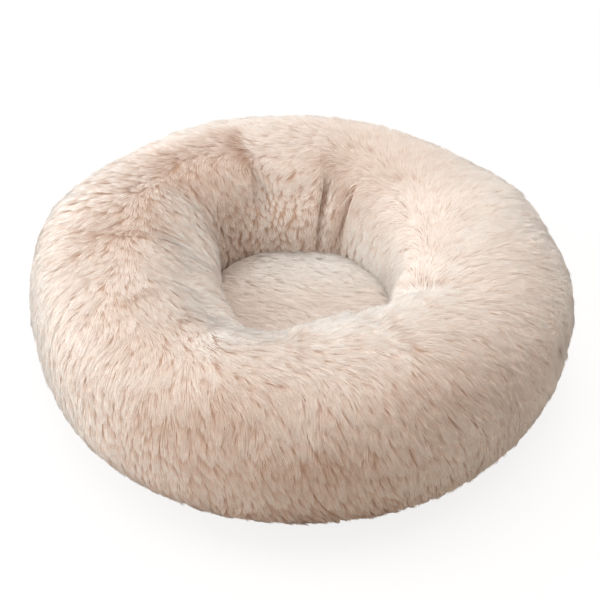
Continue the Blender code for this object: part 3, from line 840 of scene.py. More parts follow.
whole_skin = skin_mesh("ring_skin", slice(0, RING_ROWS), True)
sector = whole_skin.attributes.new("pile_sector", "INT", "FACE")
sectors = [index // TURN_STEPS * SECTORS // RING_ROWS for index in range(len(whole_skin.polygons))]
sector.data.foreach_set("value", sectors)
skin_left = skin_mesh("ring_skin_left", slice(0, RING_ROWS // 2 + 1), False)
skin_right = skin_mesh("ring_skin_right", slice(RING_ROWS // 2, RING_ROWS + 1), False)
skin_area = sum(face.area for face in whole_skin.polygons)
print("ring skin:", len(whole_skin.polygons), "faces,", round(skin_area, 3), "square metres")

# %% [markdown]
# ## The crowned cushion
#
# The cushion in the middle is a round pad, crowned by its fibre and drawn down to the seam at its edge.
# Its pile lies from left to right, a little towards the front. Its tone is paler than the ring's, as a
# painted light in the hollow, and painted shade darkens it near its edge, towards the front and towards
# the left, where the ring's walls shade it.

# %% Skin of the cushion
CUSHION_ROWS = 96
CUSHION_RINGS = 20
CUSHION_FLOW = unit(np.array([1.0, -0.5, 0.0]))
CUSHION_PILE = {
    "pile_length": 0.024, "pile_lift": 0.26, "pile_density": 1.0, "pile_locks": 0.22, "pile_curl": 0.5,
}


def cushion_edge():
    """Plan angles round the cushion, and how far out the ring's seam lies at each."""
    azimuth = np.linspace(0, 2 * pi, CUSHION_ROWS, endpoint=False)
    seam = np.full_like(azimuth, turn_at_inner_height(SEAM_HEIGHT, FLOOR_HEIGHT))
    return azimuth, np.linalg.norm(ring_point(seam, azimuth, 0, FLOOR_HEIGHT)[:, :2], axis=-1)


def cushion_skin(name):
    """Crowned disc that faces up and ends just inside the ring's seam."""
    azimuth, edge = cushion_edge()
    share = np.sin(np.linspace(0.02, pi / 2, CUSHION_RINGS))
    reach = (edge - 0.001)[:, None] * share
    foot = SEAM_HEIGHT - PILE_DEPTH
    rise = CROWN_HEIGHT - PILE_DEPTH - foot
    height = np.broadcast_to(foot + rise * (1 - share ** 16) ** 0.5, reach.shape)
    grid = np.stack([reach * np.cos(azimuth)[:, None], reach * np.sin(azimuth)[:, None], height], axis=-1)
    mesh = mesh_from_grid(name, grid)
    close(mesh, caps(CUSHION_ROWS, CUSHION_RINGS)[:1])
    if mesh.polygons[0].normal.z < 0:
        mesh.flip_normals()
    return mesh


cushion_mesh = cushion_skin("cushion_skin")
places = np.array([vertex.co[:] for vertex in cushion_mesh.vertices])
normals = np.array([vertex.normal[:] for vertex in cushion_mesh.vertices])
outward = unit(places * (1, 1, 0))
reach = np.linalg.norm(places[:, :2], axis=-1)
near_edge = np.clip((reach / reach.max() - 0.75) / 0.2, 0, 1)
lie = CUSHION_FLOW + outward * near_edge[:, None] * 0.6
lie = unit(lie - normals * (lie * normals).sum(-1, keepdims=True))
lie = turned_by(lie, normals, 0.4 * wander(places, 0.04, 4) + 0.2 * wander(places, 0.015, 5))
give(cushion_mesh, "pile_flow", lie, "FLOAT_VECTOR")
give(cushion_mesh, "pile_normal", unit(normals + np.array([0, 0, 2.0])), "FLOAT_VECTOR")
for name, value in CUSHION_PILE.items():
    give(cushion_mesh, name, np.full(len(places), value))
# Painted shade: darker near the edge, towards the front and towards the left, where the ring's walls shade
# the cushion. The base tone is raised as painted light in the hollow.
painted_shade_toward_front = np.clip((0.085 - places[:, 1]) / 0.08, 0, 1)
painted_shade_toward_left = np.clip((-0.02 - places[:, 0]) / 0.05, 0, 1)
cushion_tone_and_painted_light = 0.34 - 0.2 * near_edge - 0.36 * painted_shade_toward_front - 0.1 * painted_shade_toward_left
give(cushion_mesh, "pile_tone_and_painted_light", cushion_tone_and_painted_light + 0.1 * wander(places, 0.05, 6))
cushion_mesh.attributes.new("pile_sector", "INT", "FACE")
print("cushion skin:", len(cushion_mesh.polygons), "faces")

# %% [markdown]
# ## Woven finishes
#
# The hidden cloths are all plain weaves at different scales, so one node group makes the over and under
# of the threads. It takes two coordinates in metres, across and along the threads, and gives a height
# for the bump and a value for how deep between the threads a point lies, where the materials paint
# shade. Each material picks its own coordinates: flat cloth takes X and Y, and cloth that goes round the
# bed takes the arc and the girth.


# %% Weave group and cloth materials
def weave_group():
    """Plain weave from two coordinates: where the threads stand high, and how deep a point lies."""
    group = bpy.data.node_groups.new("plain_weave", "ShaderNodeTree")
    for way, names in (("INPUT", ("Across", "Along", "Thread Spacing")), ("OUTPUT", ("Height", "Valley"))):
        for name in names:
            group.interface.new_socket(name, in_out=way, socket_type="NodeSocketFloat")
    given = {socket.name: Value(socket) for socket in group.nodes.new("NodeGroupInput").outputs}
    across, along = (
        (given[name].math("DIVIDE", given[name], given["Thread Spacing"]) * pi).wave()
        for name in ("Across", "Along")
    )
    crossing = across * along
    result = group.nodes.new("NodeGroupOutput").inputs
    plug(result["Height"], crossing * 0.5 + 0.5)
    plug(result["Valley"], 1.0 - crossing.math("ABSOLUTE", crossing))
    return group


plain_weave = weave_group()


def cloth_material(name, colour, valley_shade_colour, spacing, roughness, relief, layout):
    """Woven cloth that lies flat, upright as a band round the bed, or along an attribute named girth."""
    material, tree, shader = new_material(name, {"Roughness": roughness, "Specular IOR Level": 0.25})
    place = tree.place()
    x, y, z = tree.split(place)
    if layout == "flat":
        across, along = x, y
    else:
        across, along = y.math("ARCTAN2", y, x) * BASE_RADIUS, z
    if layout == "girth":
        along = tree.add("ShaderNodeAttribute", out="Fac", attribute_name="girth")
    threads = {"Across": across, "Along": along, "Thread Spacing": spacing}
    weave = material.node_tree.nodes.new("ShaderNodeGroup")
    weave.node_tree = plain_weave
    for label, value in threads.items():
        plug(weave.inputs[label], value)
    # Painted shade between the threads: deep places take the darker valley colour, mixed with random
    # mottling.
    depth = Value(weave.outputs["Valley"]) * 0.7 + tree.noise(place, Scale=45.0, Detail=3.0) * 0.3
    plug(shader["Base Color"], tree.mix(depth, srgb(*colour), srgb(*valley_shade_colour)))
    bumps = {"Height": Value(weave.outputs["Height"]), "Strength": relief, "Distance": spacing / 3}
    plug(shader["Normal"], tree.add("ShaderNodeBump", bumps))
    return material


base_cloth, liner_cloth, tape_cloth, ground_ring, ground_cushion = cloths = [
    cloth_material(*cloth)
    for cloth in (
        ("base_oxford_cloth", (199, 187, 173), (160, 147, 132), 0.0005, 0.8, 0.7, "flat"),
        ("liner_nonwoven_cloth", (243, 242, 238), (222, 220, 214), 0.0008, 0.9, 0.4, "girth"),
        ("zip_tape_cloth", (222, 210, 194), (190, 176, 158), 0.0004, 0.75, 0.8, "upright"),
        ("plush_ground_ring", (216, 188, 168), (196, 164, 143), 0.0009, 0.95, 0.5, "girth"),
        ("plush_ground_cushion", (222, 198, 180), (204, 174, 154), 0.0009, 0.95, 0.5, "flat"),
    )
]
print("cloth finishes:", *(cloth.name for cloth in cloths))

# %% [markdown]
# ## Finish of the pile
#
# Each lock is pale cream at its tip and a warm, pinkish brown at its root. This is partly the plush's own
# colour and partly painted shade that stands in for the shadow deep in the pile, as the strands cast
# none. Some tufts are a little darker than their neighbours. The colour follows two numbers that each
# strand carries: how far along the strand a point is, and the shade of its tuft, which holds the painted
# light and shade of its place.

# %% Material of the pile
PILE_NUMBERS = {"Roughness": 0.65, "Specular IOR Level": 0.2, "Sheen Weight": 0.15}
# Root to tip: the dark root is partly the plush's own colour and partly painted shade deep in the pile.
TIP_STOPS = ((0.0, (178, 144, 124)), (0.42, (226, 210, 199)), (0.74, (248, 245, 241)), (1.0, (250, 248, 245)))
# Tone of the tuft with its painted light and shade: darker and warmer towards 0, white at 1.
TONE_AND_PAINTED_LIGHT_STOPS = ((0.0, (184, 155, 138)), (0.5, (227, 216, 209)), (1.0, (255, 255, 255)))
pile_finish, tree, shader = new_material("plush_pile", PILE_NUMBERS)
along_strand, tuft_tone_and_painted_light = (
    tree.ramp(tree.add("ShaderNodeAttribute", out="Fac", attribute_name=name), *stops)
    for name, stops in (("tip_share", TIP_STOPS), ("tuft_tone_and_painted_light", TONE_AND_PAINTED_LIGHT_STOPS))
)
plug(shader["Base Color"], tree.mix(1.0, along_strand, tuft_tone_and_painted_light, blend_type="MULTIPLY"))
print("finish of the pile:", pile_finish.name)

# %% [markdown]
# ## Growing the pile
#
# Pile repeats hundreds of thousands of times, so Geometry Nodes grow it. Points are scattered over the
# skin, each with one thin three-sided strand. Two sparser sets of points mark the tufts and the wider
# locks: strands that belong to one tuft share its turn and lean together at their tips, which parts the
# pile into locks. A strand follows the skin from its root by way of a middle to its end, as a curve
# through three points, and stands off the skin by its lift.

# %% Numbers that the pile's tree takes
PILE_INPUTS = {
    # densities for each square metre, and sizes in metres
    "Strands per Square Metre": 520000.0, "Tuft Spacing": 0.0056, "Strand Width": 0.00028, "Tuft Pull": 0.6,
    "Lock Spacing": 0.0095, "Lock Pull": 0.45, "Tuft Swing": 0.22, "Strand Swing": 0.10, "Wave": 0.06,
    "Lowest Height": 0.001, "Softness": 0.8,
}
MOST_TUFTS = 60000.0
MOST_LOCKS = 20000.0
BOTH_WAYS = (-1.0, 1.0)
TUFT_LENGTHS = (0.72, 1.12)
STRAND_LENGTHS = (0.8, 1.08)
LIFTS = (0.88, 1.12)
WIDTHS = (0.75, 1.25)
MIDDLE_SHADE = 0.62
TUFT_SHADES = (-0.11, 0.11)
STRAND_SHADES = (-0.1, 0.1)
ROLLS = (0.0, 1.05)
WAVE_ANGLE = 5.5
LEAN_POWER = 1.3
FLATNESS = 0.6
FAR_BELOW = -9.0
print("strands per square metre:", PILE_INPUTS["Strands per Square Metre"])


# %% Roots of the strands, and what each carries
def pile_points(t, given):
    """Points on the skin, each with the path, the lean, the size and the shade of its strand, which holds
    painted light and shade.
    """
    skin, seed = given["Geometry"], given["Seed"]
    place = t.add("GeometryNodeInputPosition")
    normal, flow = t.named("pile_normal", "FLOAT_VECTOR"), t.named("pile_flow", "FLOAT_VECTOR")
    locks, curl = t.named("pile_locks"), t.named("pile_curl")

    def scatter(inputs, **settings):
        return t.add("GeometryNodeDistributePointsOnFaces", {"Mesh": skin, **inputs}, "Points", **settings)

    def nearest_of(spacing, most, shift):
        """Number and place of the nearest of some sparse points."""
        limits = {"Distance Min": spacing, "Density Max": most, "Seed": seed + shift}
        points = scatter(limits, distribute_method="POISSON")
        number = t.add("GeometryNodeSampleNearest", {"Geometry": points, "Sample Position": place}, "Index")
        asked = {"Geometry": points, "Value": place, "Index": number}
        return number, t.add("GeometryNodeSampleIndex", asked, "Value", data_type="FLOAT_VECTOR")

    def on_skin(point):
        asked = {"Geometry": skin, "Sample Position": point}
        return t.add("GeometryNodeProximity", asked, "Position", target_element="FACES")

    def from_skin(value, point):
        asked = {"Mesh": skin, "Value": value, "Sample Position": point}
        return t.add("GeometryNodeSampleNearestSurface", asked, "Value", data_type="FLOAT_VECTOR")

    here = {"A": t.named("pile_sector", "INT"), "B": given["Sector"]}
    in_sector = t.add("FunctionNodeCompare", here, data_type="INT", operation="EQUAL")
    density = t.named("pile_density") * given["Strands per Square Metre"]
    roots = scatter({"Selection": in_sector, "Density": density, "Seed": seed})
    owner, tuft_place = nearest_of(given["Tuft Spacing"], MOST_TUFTS, 50)
    _, lock_place = nearest_of(given["Lock Spacing"], MOST_LOCKS, 90)
    swing = t.chance(*BOTH_WAYS, 11, owner) * given["Tuft Swing"]
    swing = (swing + t.chance(*BOTH_WAYS, 12) * given["Strand Swing"]) * curl
    length = t.named("pile_length") * t.chance(*TUFT_LENGTHS, 13, owner) * t.chance(*STRAND_LENGTHS, 14)
    half = length * 0.5

    def turned(direction, axis):
        return t.add("ShaderNodeVectorRotate", {"Vector": direction, "Axis": axis, "Angle": swing})

    middle = on_skin(place + turned(flow, normal) * half)
    end = on_skin(middle + turned(from_skin(flow, middle), from_skin(normal, middle)) * half)
    to_tuft = (tuft_place - place) * (given["Tuft Pull"] * locks)
    to_lock = (lock_place - place) * ((locks - 0.9).at_least(0.0) * given["Lock Pull"])
    across = to_tuft + to_lock
    across = across - normal * across.math("DOT_PRODUCT", across, normal)
    lift = t.named("pile_lift") * t.chance(*LIFTS, 15, owner) * t.chance(*LIFTS, 16)
    # The tuft's shade: the skin's painted light and shade, plus tufts and strands that differ at random.
    tuft_change = t.chance(*TUFT_SHADES, 17, owner) * locks.math("MINIMUM", locks, 1.2)
    shade = t.named("pile_tone_and_painted_light") + MIDDLE_SHADE + tuft_change + t.chance(*STRAND_SHADES, 18)
    return t.keep(roots, {
        "root": place, "middle": middle, "end": end, "normal": normal, "end_normal": from_skin(normal, end),
        "across": across, "height": length * lift, "width": given["Strand Width"] * t.chance(*WIDTHS, 19),
        "wave": length * given["Wave"] * (t.chance(*BOTH_WAYS, 20) * curl),
        "shade": t.add("ShaderNodeClamp", {"Value": shade}),
        "paleness": ((0.75 - locks) * 0.8).at_least(-0.45), "roll": t.chance(*ROLLS, 21),
    })


# %% Strands that stand on the roots
def pile_strands(t, given, points, kept):
    """One bent strand on each point, with its place along the strand and its shade, painted light and shade
    included, as attributes.
    """
    spindle = t.add("GeometryNodeMeshUVSphere", {"Segments": 3, "Rings": 2, "Radius": 1.0})
    strand, ring = t.keep(spindle, {"ring": t.add("GeometryNodeInputPosition")})
    grown = t.add("GeometryNodeInstanceOnPoints", {"Points": points, "Instance": strand})
    real = t.add("GeometryNodeRealizeInstances", {"Geometry": grown})
    ring_x, ring_y, ring_z = t.split(ring["ring"])
    s = (ring_z + 1.0) * 0.5
    rest = 1.0 - s
    root, end = kept["root"], kept["end"]
    control = kept["middle"] * 2.0 - (root + end) * 0.5
    along = root * (rest * rest) + end * (s * s) + control * (s * rest * 2.0)
    tangent = ((control - root) * rest + (end - control) * s).unit()
    up = (kept["normal"] * rest + kept["end_normal"] * s).unit()
    side = up.math("CROSS_PRODUCT", up, tangent).unit()
    height = kept["height"] * (s * (2.0 - s))
    weave = kept["wave"] * (s * WAVE_ANGLE).wave()
    fuller = kept["width"] * (s + 1.0)
    cosine, sine = kept["roll"].wave("COSINE"), kept["roll"].wave()
    side_reach = weave + (ring_x * cosine - ring_y * sine) * fuller
    up_reach = height + (ring_x * sine + ring_y * cosine) * (fuller * FLATNESS)
    spot = along + kept["across"] * s.math("POWER", s, LEAN_POWER) + side * side_reach + up * up_reach
    spot = spot.at_least(t.vector(FAR_BELOW, FAR_BELOW, given["Lowest Height"]))
    bent = t.add("GeometryNodeSetPosition", {"Geometry": real, "Position": spot})
    smooth = t.add("GeometryNodeSetShadeSmooth", {"Geometry": bent, "Shade Smooth": True})
    shading = up * given["Softness"] + t.add("GeometryNodeInputNormal") * (1.0 - given["Softness"])
    softer = {"Mesh": smooth, "Custom Normal": shading.unit()}
    softened = t.add("GeometryNodeSetMeshNormal", softer, mode="FREE", domain="POINT")
    # Where the pile lies smooth, less of the root's painted shade shows, and where it parts into locks more
    # does.
    toward_tip = (s + rest * kept["paleness"]).at_least(0.0)
    tip = t.store(softened, "tip_share", toward_tip)
    tuft = t.store(tip, "tuft_tone_and_painted_light", kept["shade"])
    bake_spot = t.vector(toward_tip * 0.96 + ring_x * 0.01, kept["shade"] * 0.96 + ring_y * 0.01)
    return t.store(tuft, "OFBake", bake_spot, "FLOAT2", "CORNER")


tree, given = geometry_tree("plush_pile", PILE_INPUTS, {"Seed": 1, "Sector": 0})
points, kept = pile_points(tree, given)
plush = tree.finish(pile_strands(tree, given, points, kept), given)
print("pile tree:", len(plush.nodes), "nodes")

# %% [markdown]
# ## Sectors of pile
#
# One piece with every strand would be too heavy to handle, so the pile is grown sector by sector, as a
# sheet of plush is cut into panels. Each sector's modifier is turned into a plain mesh. The strands cast
# no shadows, because each is thinner than a pixel and would only make its neighbours grainy. The skin
# under them casts the bed's shadow.


# %% Grow the sectors
def plain_mesh(name, guide):
    """Mesh that a guide object makes with its modifiers or its curve. The guide goes."""
    bpy.context.view_layer.update()
    mesh = bpy.data.meshes.new_from_object(guide.evaluated_get(bpy.context.evaluated_depsgraph_get()))
    mesh.name = name
    bpy.data.objects.remove(guide)
    return mesh


def made_by(tree, name, values, skin=None):
    """New piece that a tree makes, from a skin or from nothing."""
    guide = add_piece(name + "_guide", skin or bpy.data.meshes.new(name + "_guide"))
    modifier = guide.modifiers.new("repeat", "NODES")
    modifier.node_group = tree
    identifiers = {item.name: item.identifier for item in tree.interface.items_tree if item.in_out == "INPUT"}
    for label, value in values.items():
        modifier[identifiers[label]] = value
    piece = add_piece(name, plain_mesh(name, guide))
    print(name, len(piece.data.polygons), "faces")
    return piece


HALF = SECTORS // 2
PILE_PIECES = [
    (f"ring_pile_{'left' if sector < HALF else 'right'}_{sector % HALF + 1}", whole_skin, 10, sector)
    for sector in range(SECTORS)
]
for name, skin, seed, sector in (*PILE_PIECES, ("cushion_pile", cushion_mesh, 300, 0)):
    piece = made_by(plush, name, {"Seed": seed, "Sector": sector, "Material": pile_finish}, skin)
    piece.visible_shadow = False
    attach(piece, "bed")

# %% [markdown]
# ## Cloth under the pile
#
# The skins that carried the guides for the pile become pieces of their own: the two panels of the ring
# and the round panel of the cushion. Each stands for its cover in the CAD bed and is padded: the frame
# is told how much of its box the stuffed cover fills.

# %% Skins as pieces
for name, mesh, ground, node, fill in (
    ("ring_plush_left", skin_left, ground_ring, "rim_cover_left", 0.8),
    ("ring_plush_right", skin_right, ground_ring, "rim_cover_right", 0.8),
    ("cushion_plush", cushion_mesh, ground_cushion, "cushion_cover", 0.7),
):
    piece = add_piece(name, mesh, ground)
    thicken(piece, "cloth", SKIN_THICKNESS)
    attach(piece, "bed")
    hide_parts(node)
    print(name, len(mesh.polygons), "faces before its thickness")

# %% [markdown]
# ## The hidden bag and its fibre
#
# The zip opens on a thin bag that holds the ring's fibre, so that the cover can be washed alone. The bag
# follows the ring's own rule at a larger inset, with small gathers pressed in, and its fibre is the same
# shape again, a little smaller and lumpy. Both are hidden, so a rule in code is enough for their form.

# %% Bag round the fibre
LINER_INSET = 0.0152
LINER_WALL = 0.0005
BAG_WALL_RADIUS = FOOT_RADIUS - 0.0068
BAG_ROWS = 180
BAG_STEPS = 40
BAG_FOOT_STEPS = 5
LINER_GATHERS = 0.0012
GATHER_COUNT = 90
GATHER_MIDDLE = -2.0
GATHER_HALF_TURN = 1.1


def bag_grid(inset, wall_radius, floor, gather_depth, seed):
    """Closed section round the bed: underside, inner wall, crest, outer wall and the wall at the zip."""
    azimuth = SEAM_ANGLE + np.linspace(0, 2 * pi, BAG_ROWS, endpoint=False)
    seam = turn_at_inner_height(SEAM_HEIGHT, floor)
    turn = np.concatenate([
        np.linspace(-pi, seam, BAG_FOOT_STEPS)[:-1],
        np.linspace(seam, turn_at_radius(wall_radius, inset), BAG_STEPS),
    ])
    grid, turns, azimuths, down, round_bed = ring_grid(turn, azimuth, inset, floor)
    gathers = 1 + np.sin(GATHER_COUNT * azimuths + 4 * wander(grid, 0.06, seed + 1))
    gathered = gathers * bump((turns - GATHER_MIDDLE) / GATHER_HALF_TURN)
    press = np.clip((1 + wander(grid, 0.02, seed)) / 2 + 0.5 * gathered, 0, 1.4)
    press = press * gather_depth * (grid[..., 2] > RECESS_TOP + inset)
    grid = grid - np.cross(down, round_bed) * press[..., None]
    return np.concatenate([grid, turned_grid([(wall_radius, floor)], azimuth)], axis=1)


def closed_bag(name, grid):
    """Mesh from a grid that closes both ways, with the length round its section as an attribute."""
    rows, count = grid.shape[:2]
    mesh = mesh_from_grid(name, grid)
    close(mesh, side_strip(rows, count, closed_rows=True))
    closed = np.concatenate([grid, grid[:, :1]], axis=1)
    girth = np.cumsum(np.linalg.norm(np.diff(closed, axis=1), axis=-1), axis=1)
    give(mesh, "girth", np.concatenate([np.zeros((rows, 1)), girth[:, :-1]], axis=1))
    mesh.shade_smooth()
    return mesh, float(girth[:, -1].max())


bag_mesh, bag_girth = closed_bag(
    "ring_liner_bag", bag_grid(LINER_INSET, BAG_WALL_RADIUS, FLOOR_HEIGHT, LINER_GATHERS, 21)
)
bag = add_piece("ring_liner_bag", bag_mesh, liner_cloth)
thicken(bag, "thickness", LINER_WALL)
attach(bag, "bed")
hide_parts("rim_liner")

# %% Fibre of the ring
FIBRE_INSET = 0.0184
FIBRE_CLEARANCE = 0.002
FIBRE_LUMPS = 0.003
fibre_finish = speckled(
    "polyester_fibre", {"Roughness": 0.95, "Specular IOR Level": 0.1, "Sheen Weight": 0.3},
    {"Scale": 220.0, "Detail": 6.0, "Distortion": 2.5}, ((0.3, (222, 221, 218)), (0.65, (248, 248, 246))),
    relief=(0.6, 0.0012),
)
fibre_mesh, _ = closed_bag("ring_fibre", bag_grid(
    FIBRE_INSET, BAG_WALL_RADIUS - FIBRE_CLEARANCE, FLOOR_HEIGHT + FIBRE_CLEARANCE, FIBRE_LUMPS, 31,
))
fibre = add_piece("ring_fibre", fibre_mesh, fibre_finish)
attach(fibre, "bed")
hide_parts("rim_fill")
print("ring fibre:", len(fibre_mesh.polygons), "faces")

# %% [markdown]
# ## The pad inside the cushion
#
# Under the cushion's plush lies a pad of the same fibre. It stands on the base cloth, bulges a little
# round its side, and ends just under the plush, so the two crowns nest.

# %% Fibre of the cushion
PLUSH_THICKNESS = 0.012
PAD_GAP = 0.001
PAD_TOP_SETBACK = 0.018
PAD_SIDE_SETBACK = 0.006
PAD_LUMPS = 0.0012
PAD_LUMP_SCALE = 0.02
PAD_TOP_RINGS = 14
PAD_SIDE_RINGS = 8
PAD_UNDERSIDE = (0.66, 0.33, 0.03)


def pad_mesh(name):
    """Round pad from one section for each plan angle: crown, bulging side and flat underside."""
    azimuth, edge = cushion_edge()
    share = np.sin(np.linspace(0.03, pi / 2, PAD_TOP_RINGS))
    rise = CROWN_HEIGHT - PLUSH_THICKNESS - PAD_GAP - SEAM_HEIGHT
    crown = SEAM_HEIGHT + rise * (1 - share ** 2.4) ** 0.9
    sections = []
    for reach, out in zip(edge - PAD_TOP_SETBACK, edge - PAD_SIDE_SETBACK):
        section = [(reach * part, height) for part, height in zip(share, crown)]
        section += [
            (reach + (out - reach) * sin(pi * lean) ** 0.7, SEAM_HEIGHT + (FLOOR_HEIGHT - SEAM_HEIGHT) * lean)
            for lean in np.linspace(0, 1, PAD_SIDE_RINGS)[1:]
        ]
        sections.append(section + [(reach * part, FLOOR_HEIGHT) for part in PAD_UNDERSIDE])
    mesh = mesh_from_grid(name, turned_grid(sections, azimuth))
    close(mesh, caps(CUSHION_ROWS, len(sections[0])))
    for vertex in mesh.vertices:
        if vertex.co.z > SEAM_HEIGHT:
            vertex.co.z -= PAD_LUMPS * (1 + noise.noise(vertex.co / PAD_LUMP_SCALE)) / 2
    mesh.shade_smooth()
    return mesh


pad = add_piece("cushion_fibre", pad_mesh("cushion_fibre"), fibre_finish)
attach(pad, "bed")
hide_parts("cushion_fill")
print("cushion fibre:", len(pad.data.polygons), "faces")

# %% [markdown]
# ## Shapes repeated round the bed
#
# Stitches and zip coils repeat along arcs about the bed's upright axis. One kind of tree serves them:
# a row of points is bent to an arc, each point takes a copy of a small shape, and the copies are made
# real. Only the small shape differs, so a function that makes it is handed to the tree's maker.

# %% Tree for shapes along an arc
ARC_INPUTS = {"Arc Radius": 0.0, "Height": 0.0, "Start Angle": 0.0, "Angle Step": 0.0}


def repeated(t, points, shape, given, **turning):
    """Copies of a shape on points, made real and smooth, as the whole of a tree."""
    copies = t.add("GeometryNodeInstanceOnPoints", {"Points": points, "Instance": shape, **turning})
    real = t.add("GeometryNodeRealizeInstances", {"Geometry": copies})
    return t.finish(t.add("GeometryNodeSetShadeSmooth", {"Geometry": real, "Shade Smooth": True}), given)


def arc_tree(name, sizes, shape):
    """Tree that repeats a shape along an arc. The shape is a function that adds its nodes."""
    t, given = geometry_tree(name, {**ARC_INPUTS, **sizes}, {"Count": 10})
    line = t.add("GeometryNodeMeshLine", {"Count": given["Count"]})
    angle = given["Start Angle"] + t.add("GeometryNodeInputIndex") * given["Angle Step"]
    radius = given["Arc Radius"]
    spot = t.vector(radius * angle.wave("COSINE"), radius * angle.wave(), given["Height"])
    bent = t.add("GeometryNodeSetPosition", {"Geometry": line, "Position": spot})
    return repeated(t, bent, shape(t, given), given, Rotation=t.vector(z=angle))


def stitch_shape(t, given):
    """One thread lying along the arc, thick in its middle."""
    ball = t.add("GeometryNodeMeshIcoSphere", {"Radius": 0.5, "Subdivisions": 2})
    size = t.vector(given["Thread"], given["Length"], given["Thread"])
    return t.add("GeometryNodeTransform", {"Geometry": ball, "Scale": size})


stitch_row = arc_tree("stitch_row", {"Thread": 0.0003, "Length": 0.003}, stitch_shape)
print("stitch tree:", len(stitch_row.nodes), "nodes")

# %% [markdown]
# ## Base cloth
#
# The bed stands on a flat round of coated Oxford cloth, sewn to the cover with a turned-in hem. Rows of
# small rubber dots keep it from sliding. The disc is turned from a profile that is thicker at the hem,
# Geometry Nodes set the dots on a square grid, and the hem's stitches run round the edge.

# %% Base cloth with its hem
HEM_WIDTH = 0.008
HEM_STITCHES = 340
DOT_HEIGHT = 0.0004
BASE_ROWS = 180
HEM_INNER = BASE_RADIUS - HEM_WIDTH
BASE_SECTION = [
    # radius and height: the upper face outward, round the hem, then the lower face inward
    (0.004, 0.0012), (HEM_INNER, 0.0012), (BASE_RADIUS - 0.001, 0.00115), (BASE_RADIUS, 0.0008),
    (BASE_RADIUS - 0.0003, 0.0004), (BASE_RADIUS - 0.001, 0.0002), (HEM_INNER, 0.0002),
    (HEM_INNER - 0.0004, DOT_HEIGHT), (0.004, DOT_HEIGHT),
]
base_mesh = mesh_from_grid(
    "base_cloth_round", turned_grid(BASE_SECTION, np.linspace(0, 2 * pi, BASE_ROWS, endpoint=False))
)
close(base_mesh, caps(BASE_ROWS, len(BASE_SECTION)))
base = add_piece("base_cloth_round", base_mesh, base_cloth)
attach(base, "bed")
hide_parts("base_sheet")

hem = made_by(stitch_row, "base_hem_stitches", {
    "Arc Radius": BASE_RADIUS - HEM_WIDTH / 2, "Height": 0.00025, "Angle Step": 2 * pi / HEM_STITCHES,
    "Count": HEM_STITCHES, "Thread": 0.0004, "Length": 0.0032, "Material": tape_cloth,
})
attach(hem, "bed")


# %% Grip dots
DOT_ROWS = 37
DOT_SIZES = {"Dot Spacing": 0.013, "Dot Radius": 0.0018, "Dot Height": DOT_HEIGHT, "Field Radius": 0.236}


def dot_tree():
    """Rubber dots on a square grid within a circle."""
    t, given = geometry_tree("grip_dots", DOT_SIZES, {"Rows": DOT_ROWS})
    span = (given["Rows"] - 1.0) * given["Dot Spacing"]
    counts = {"Vertices X": given["Rows"], "Vertices Y": given["Rows"]}
    field = t.add("GeometryNodeMeshGrid", {"Size X": span, "Size Y": span, **counts}, "Mesh")
    place = t.add("GeometryNodeInputPosition")
    reach = place.math("LENGTH", place)
    outside = reach.math("GREATER_THAN", reach, given["Field Radius"])
    kept = t.add("GeometryNodeDeleteGeometry", {"Geometry": field, "Selection": outside}, domain="POINT")
    ball = t.add("GeometryNodeMeshUVSphere", {"Segments": 6, "Rings": 4, "Radius": 1.0})
    size = t.vector(given["Dot Radius"], given["Dot Radius"], given["Dot Height"])
    middle = t.vector(z=given["Dot Height"])
    dot = t.add("GeometryNodeTransform", {"Geometry": ball, "Scale": size, "Translation": middle})
    return repeated(t, kept, dot, given)


rubber = speckled(
    "grip_rubber", {}, {"Scale": 120.0, "Detail": 4.0}, ((0.0, (176, 162, 146)), (1.0, (202, 190, 176))),
    gloss=(0.55, 0.8),
)
dots = made_by(dot_tree(), "base_grip_dots", {"Rows": DOT_ROWS, "Dot Height": DOT_HEIGHT, "Material": rubber})
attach(dots, "bed")

# %% [markdown]
# ## Zip tapes
#
# A number 5 zip has two woven tapes with a spiral of nylon sewn along each. The tapes are bands bent
# round the bed, with a rolled edge on both sides and a row of stitches.

# %% Tapes with their sewing
ZIP_HEIGHT = (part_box("zip_coil_lower")[1][2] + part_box("zip_coil_upper")[0][2]) / 2
TAPE_OUTER = BASE_RADIUS - 0.0032
TAPE_FACE = TAPE_OUTER - 0.0002
TAPE_BACK = TAPE_OUTER - 0.0008
TAPE_START = radians(116)
TAPE_ARC = radians(70)
TAPE_ROWS = 141
TAPE_STITCHES = 88
TAPE_LEVELS = {
    # low edge, high edge and row of stitches
    "lower": (FLOOR_HEIGHT, ZIP_HEIGHT - 0.00015, FLOOR_HEIGHT + 0.0028),
    "upper": (ZIP_HEIGHT + 0.00015, RECESS_TOP - 0.0003, RECESS_TOP - 0.0031),
}


def band(name, low, high):
    """Thin band bent round the bed, with a rolled edge on both sides."""
    section = [
        (TAPE_BACK, low), (TAPE_FACE, low), (TAPE_OUTER, low + 0.0003), (TAPE_OUTER, low + 0.0011),
        (TAPE_FACE, low + 0.0014), (TAPE_FACE, low + (high - low) / 2), (TAPE_FACE, high - 0.0014),
        (TAPE_OUTER, high - 0.0011), (TAPE_OUTER, high - 0.0003), (TAPE_FACE, high), (TAPE_BACK, high),
    ]
    azimuth = np.linspace(TAPE_START, TAPE_START + TAPE_ARC, TAPE_ROWS)
    mesh = mesh_from_grid(name, turned_grid(section, azimuth), closed_rows=False)
    count = len(section)
    ends = [list(range(row * count, (row + 1) * count)) for row in (0, TAPE_ROWS - 1)]
    close(mesh, side_strip(TAPE_ROWS, count, closed_rows=False) + ends)
    return mesh


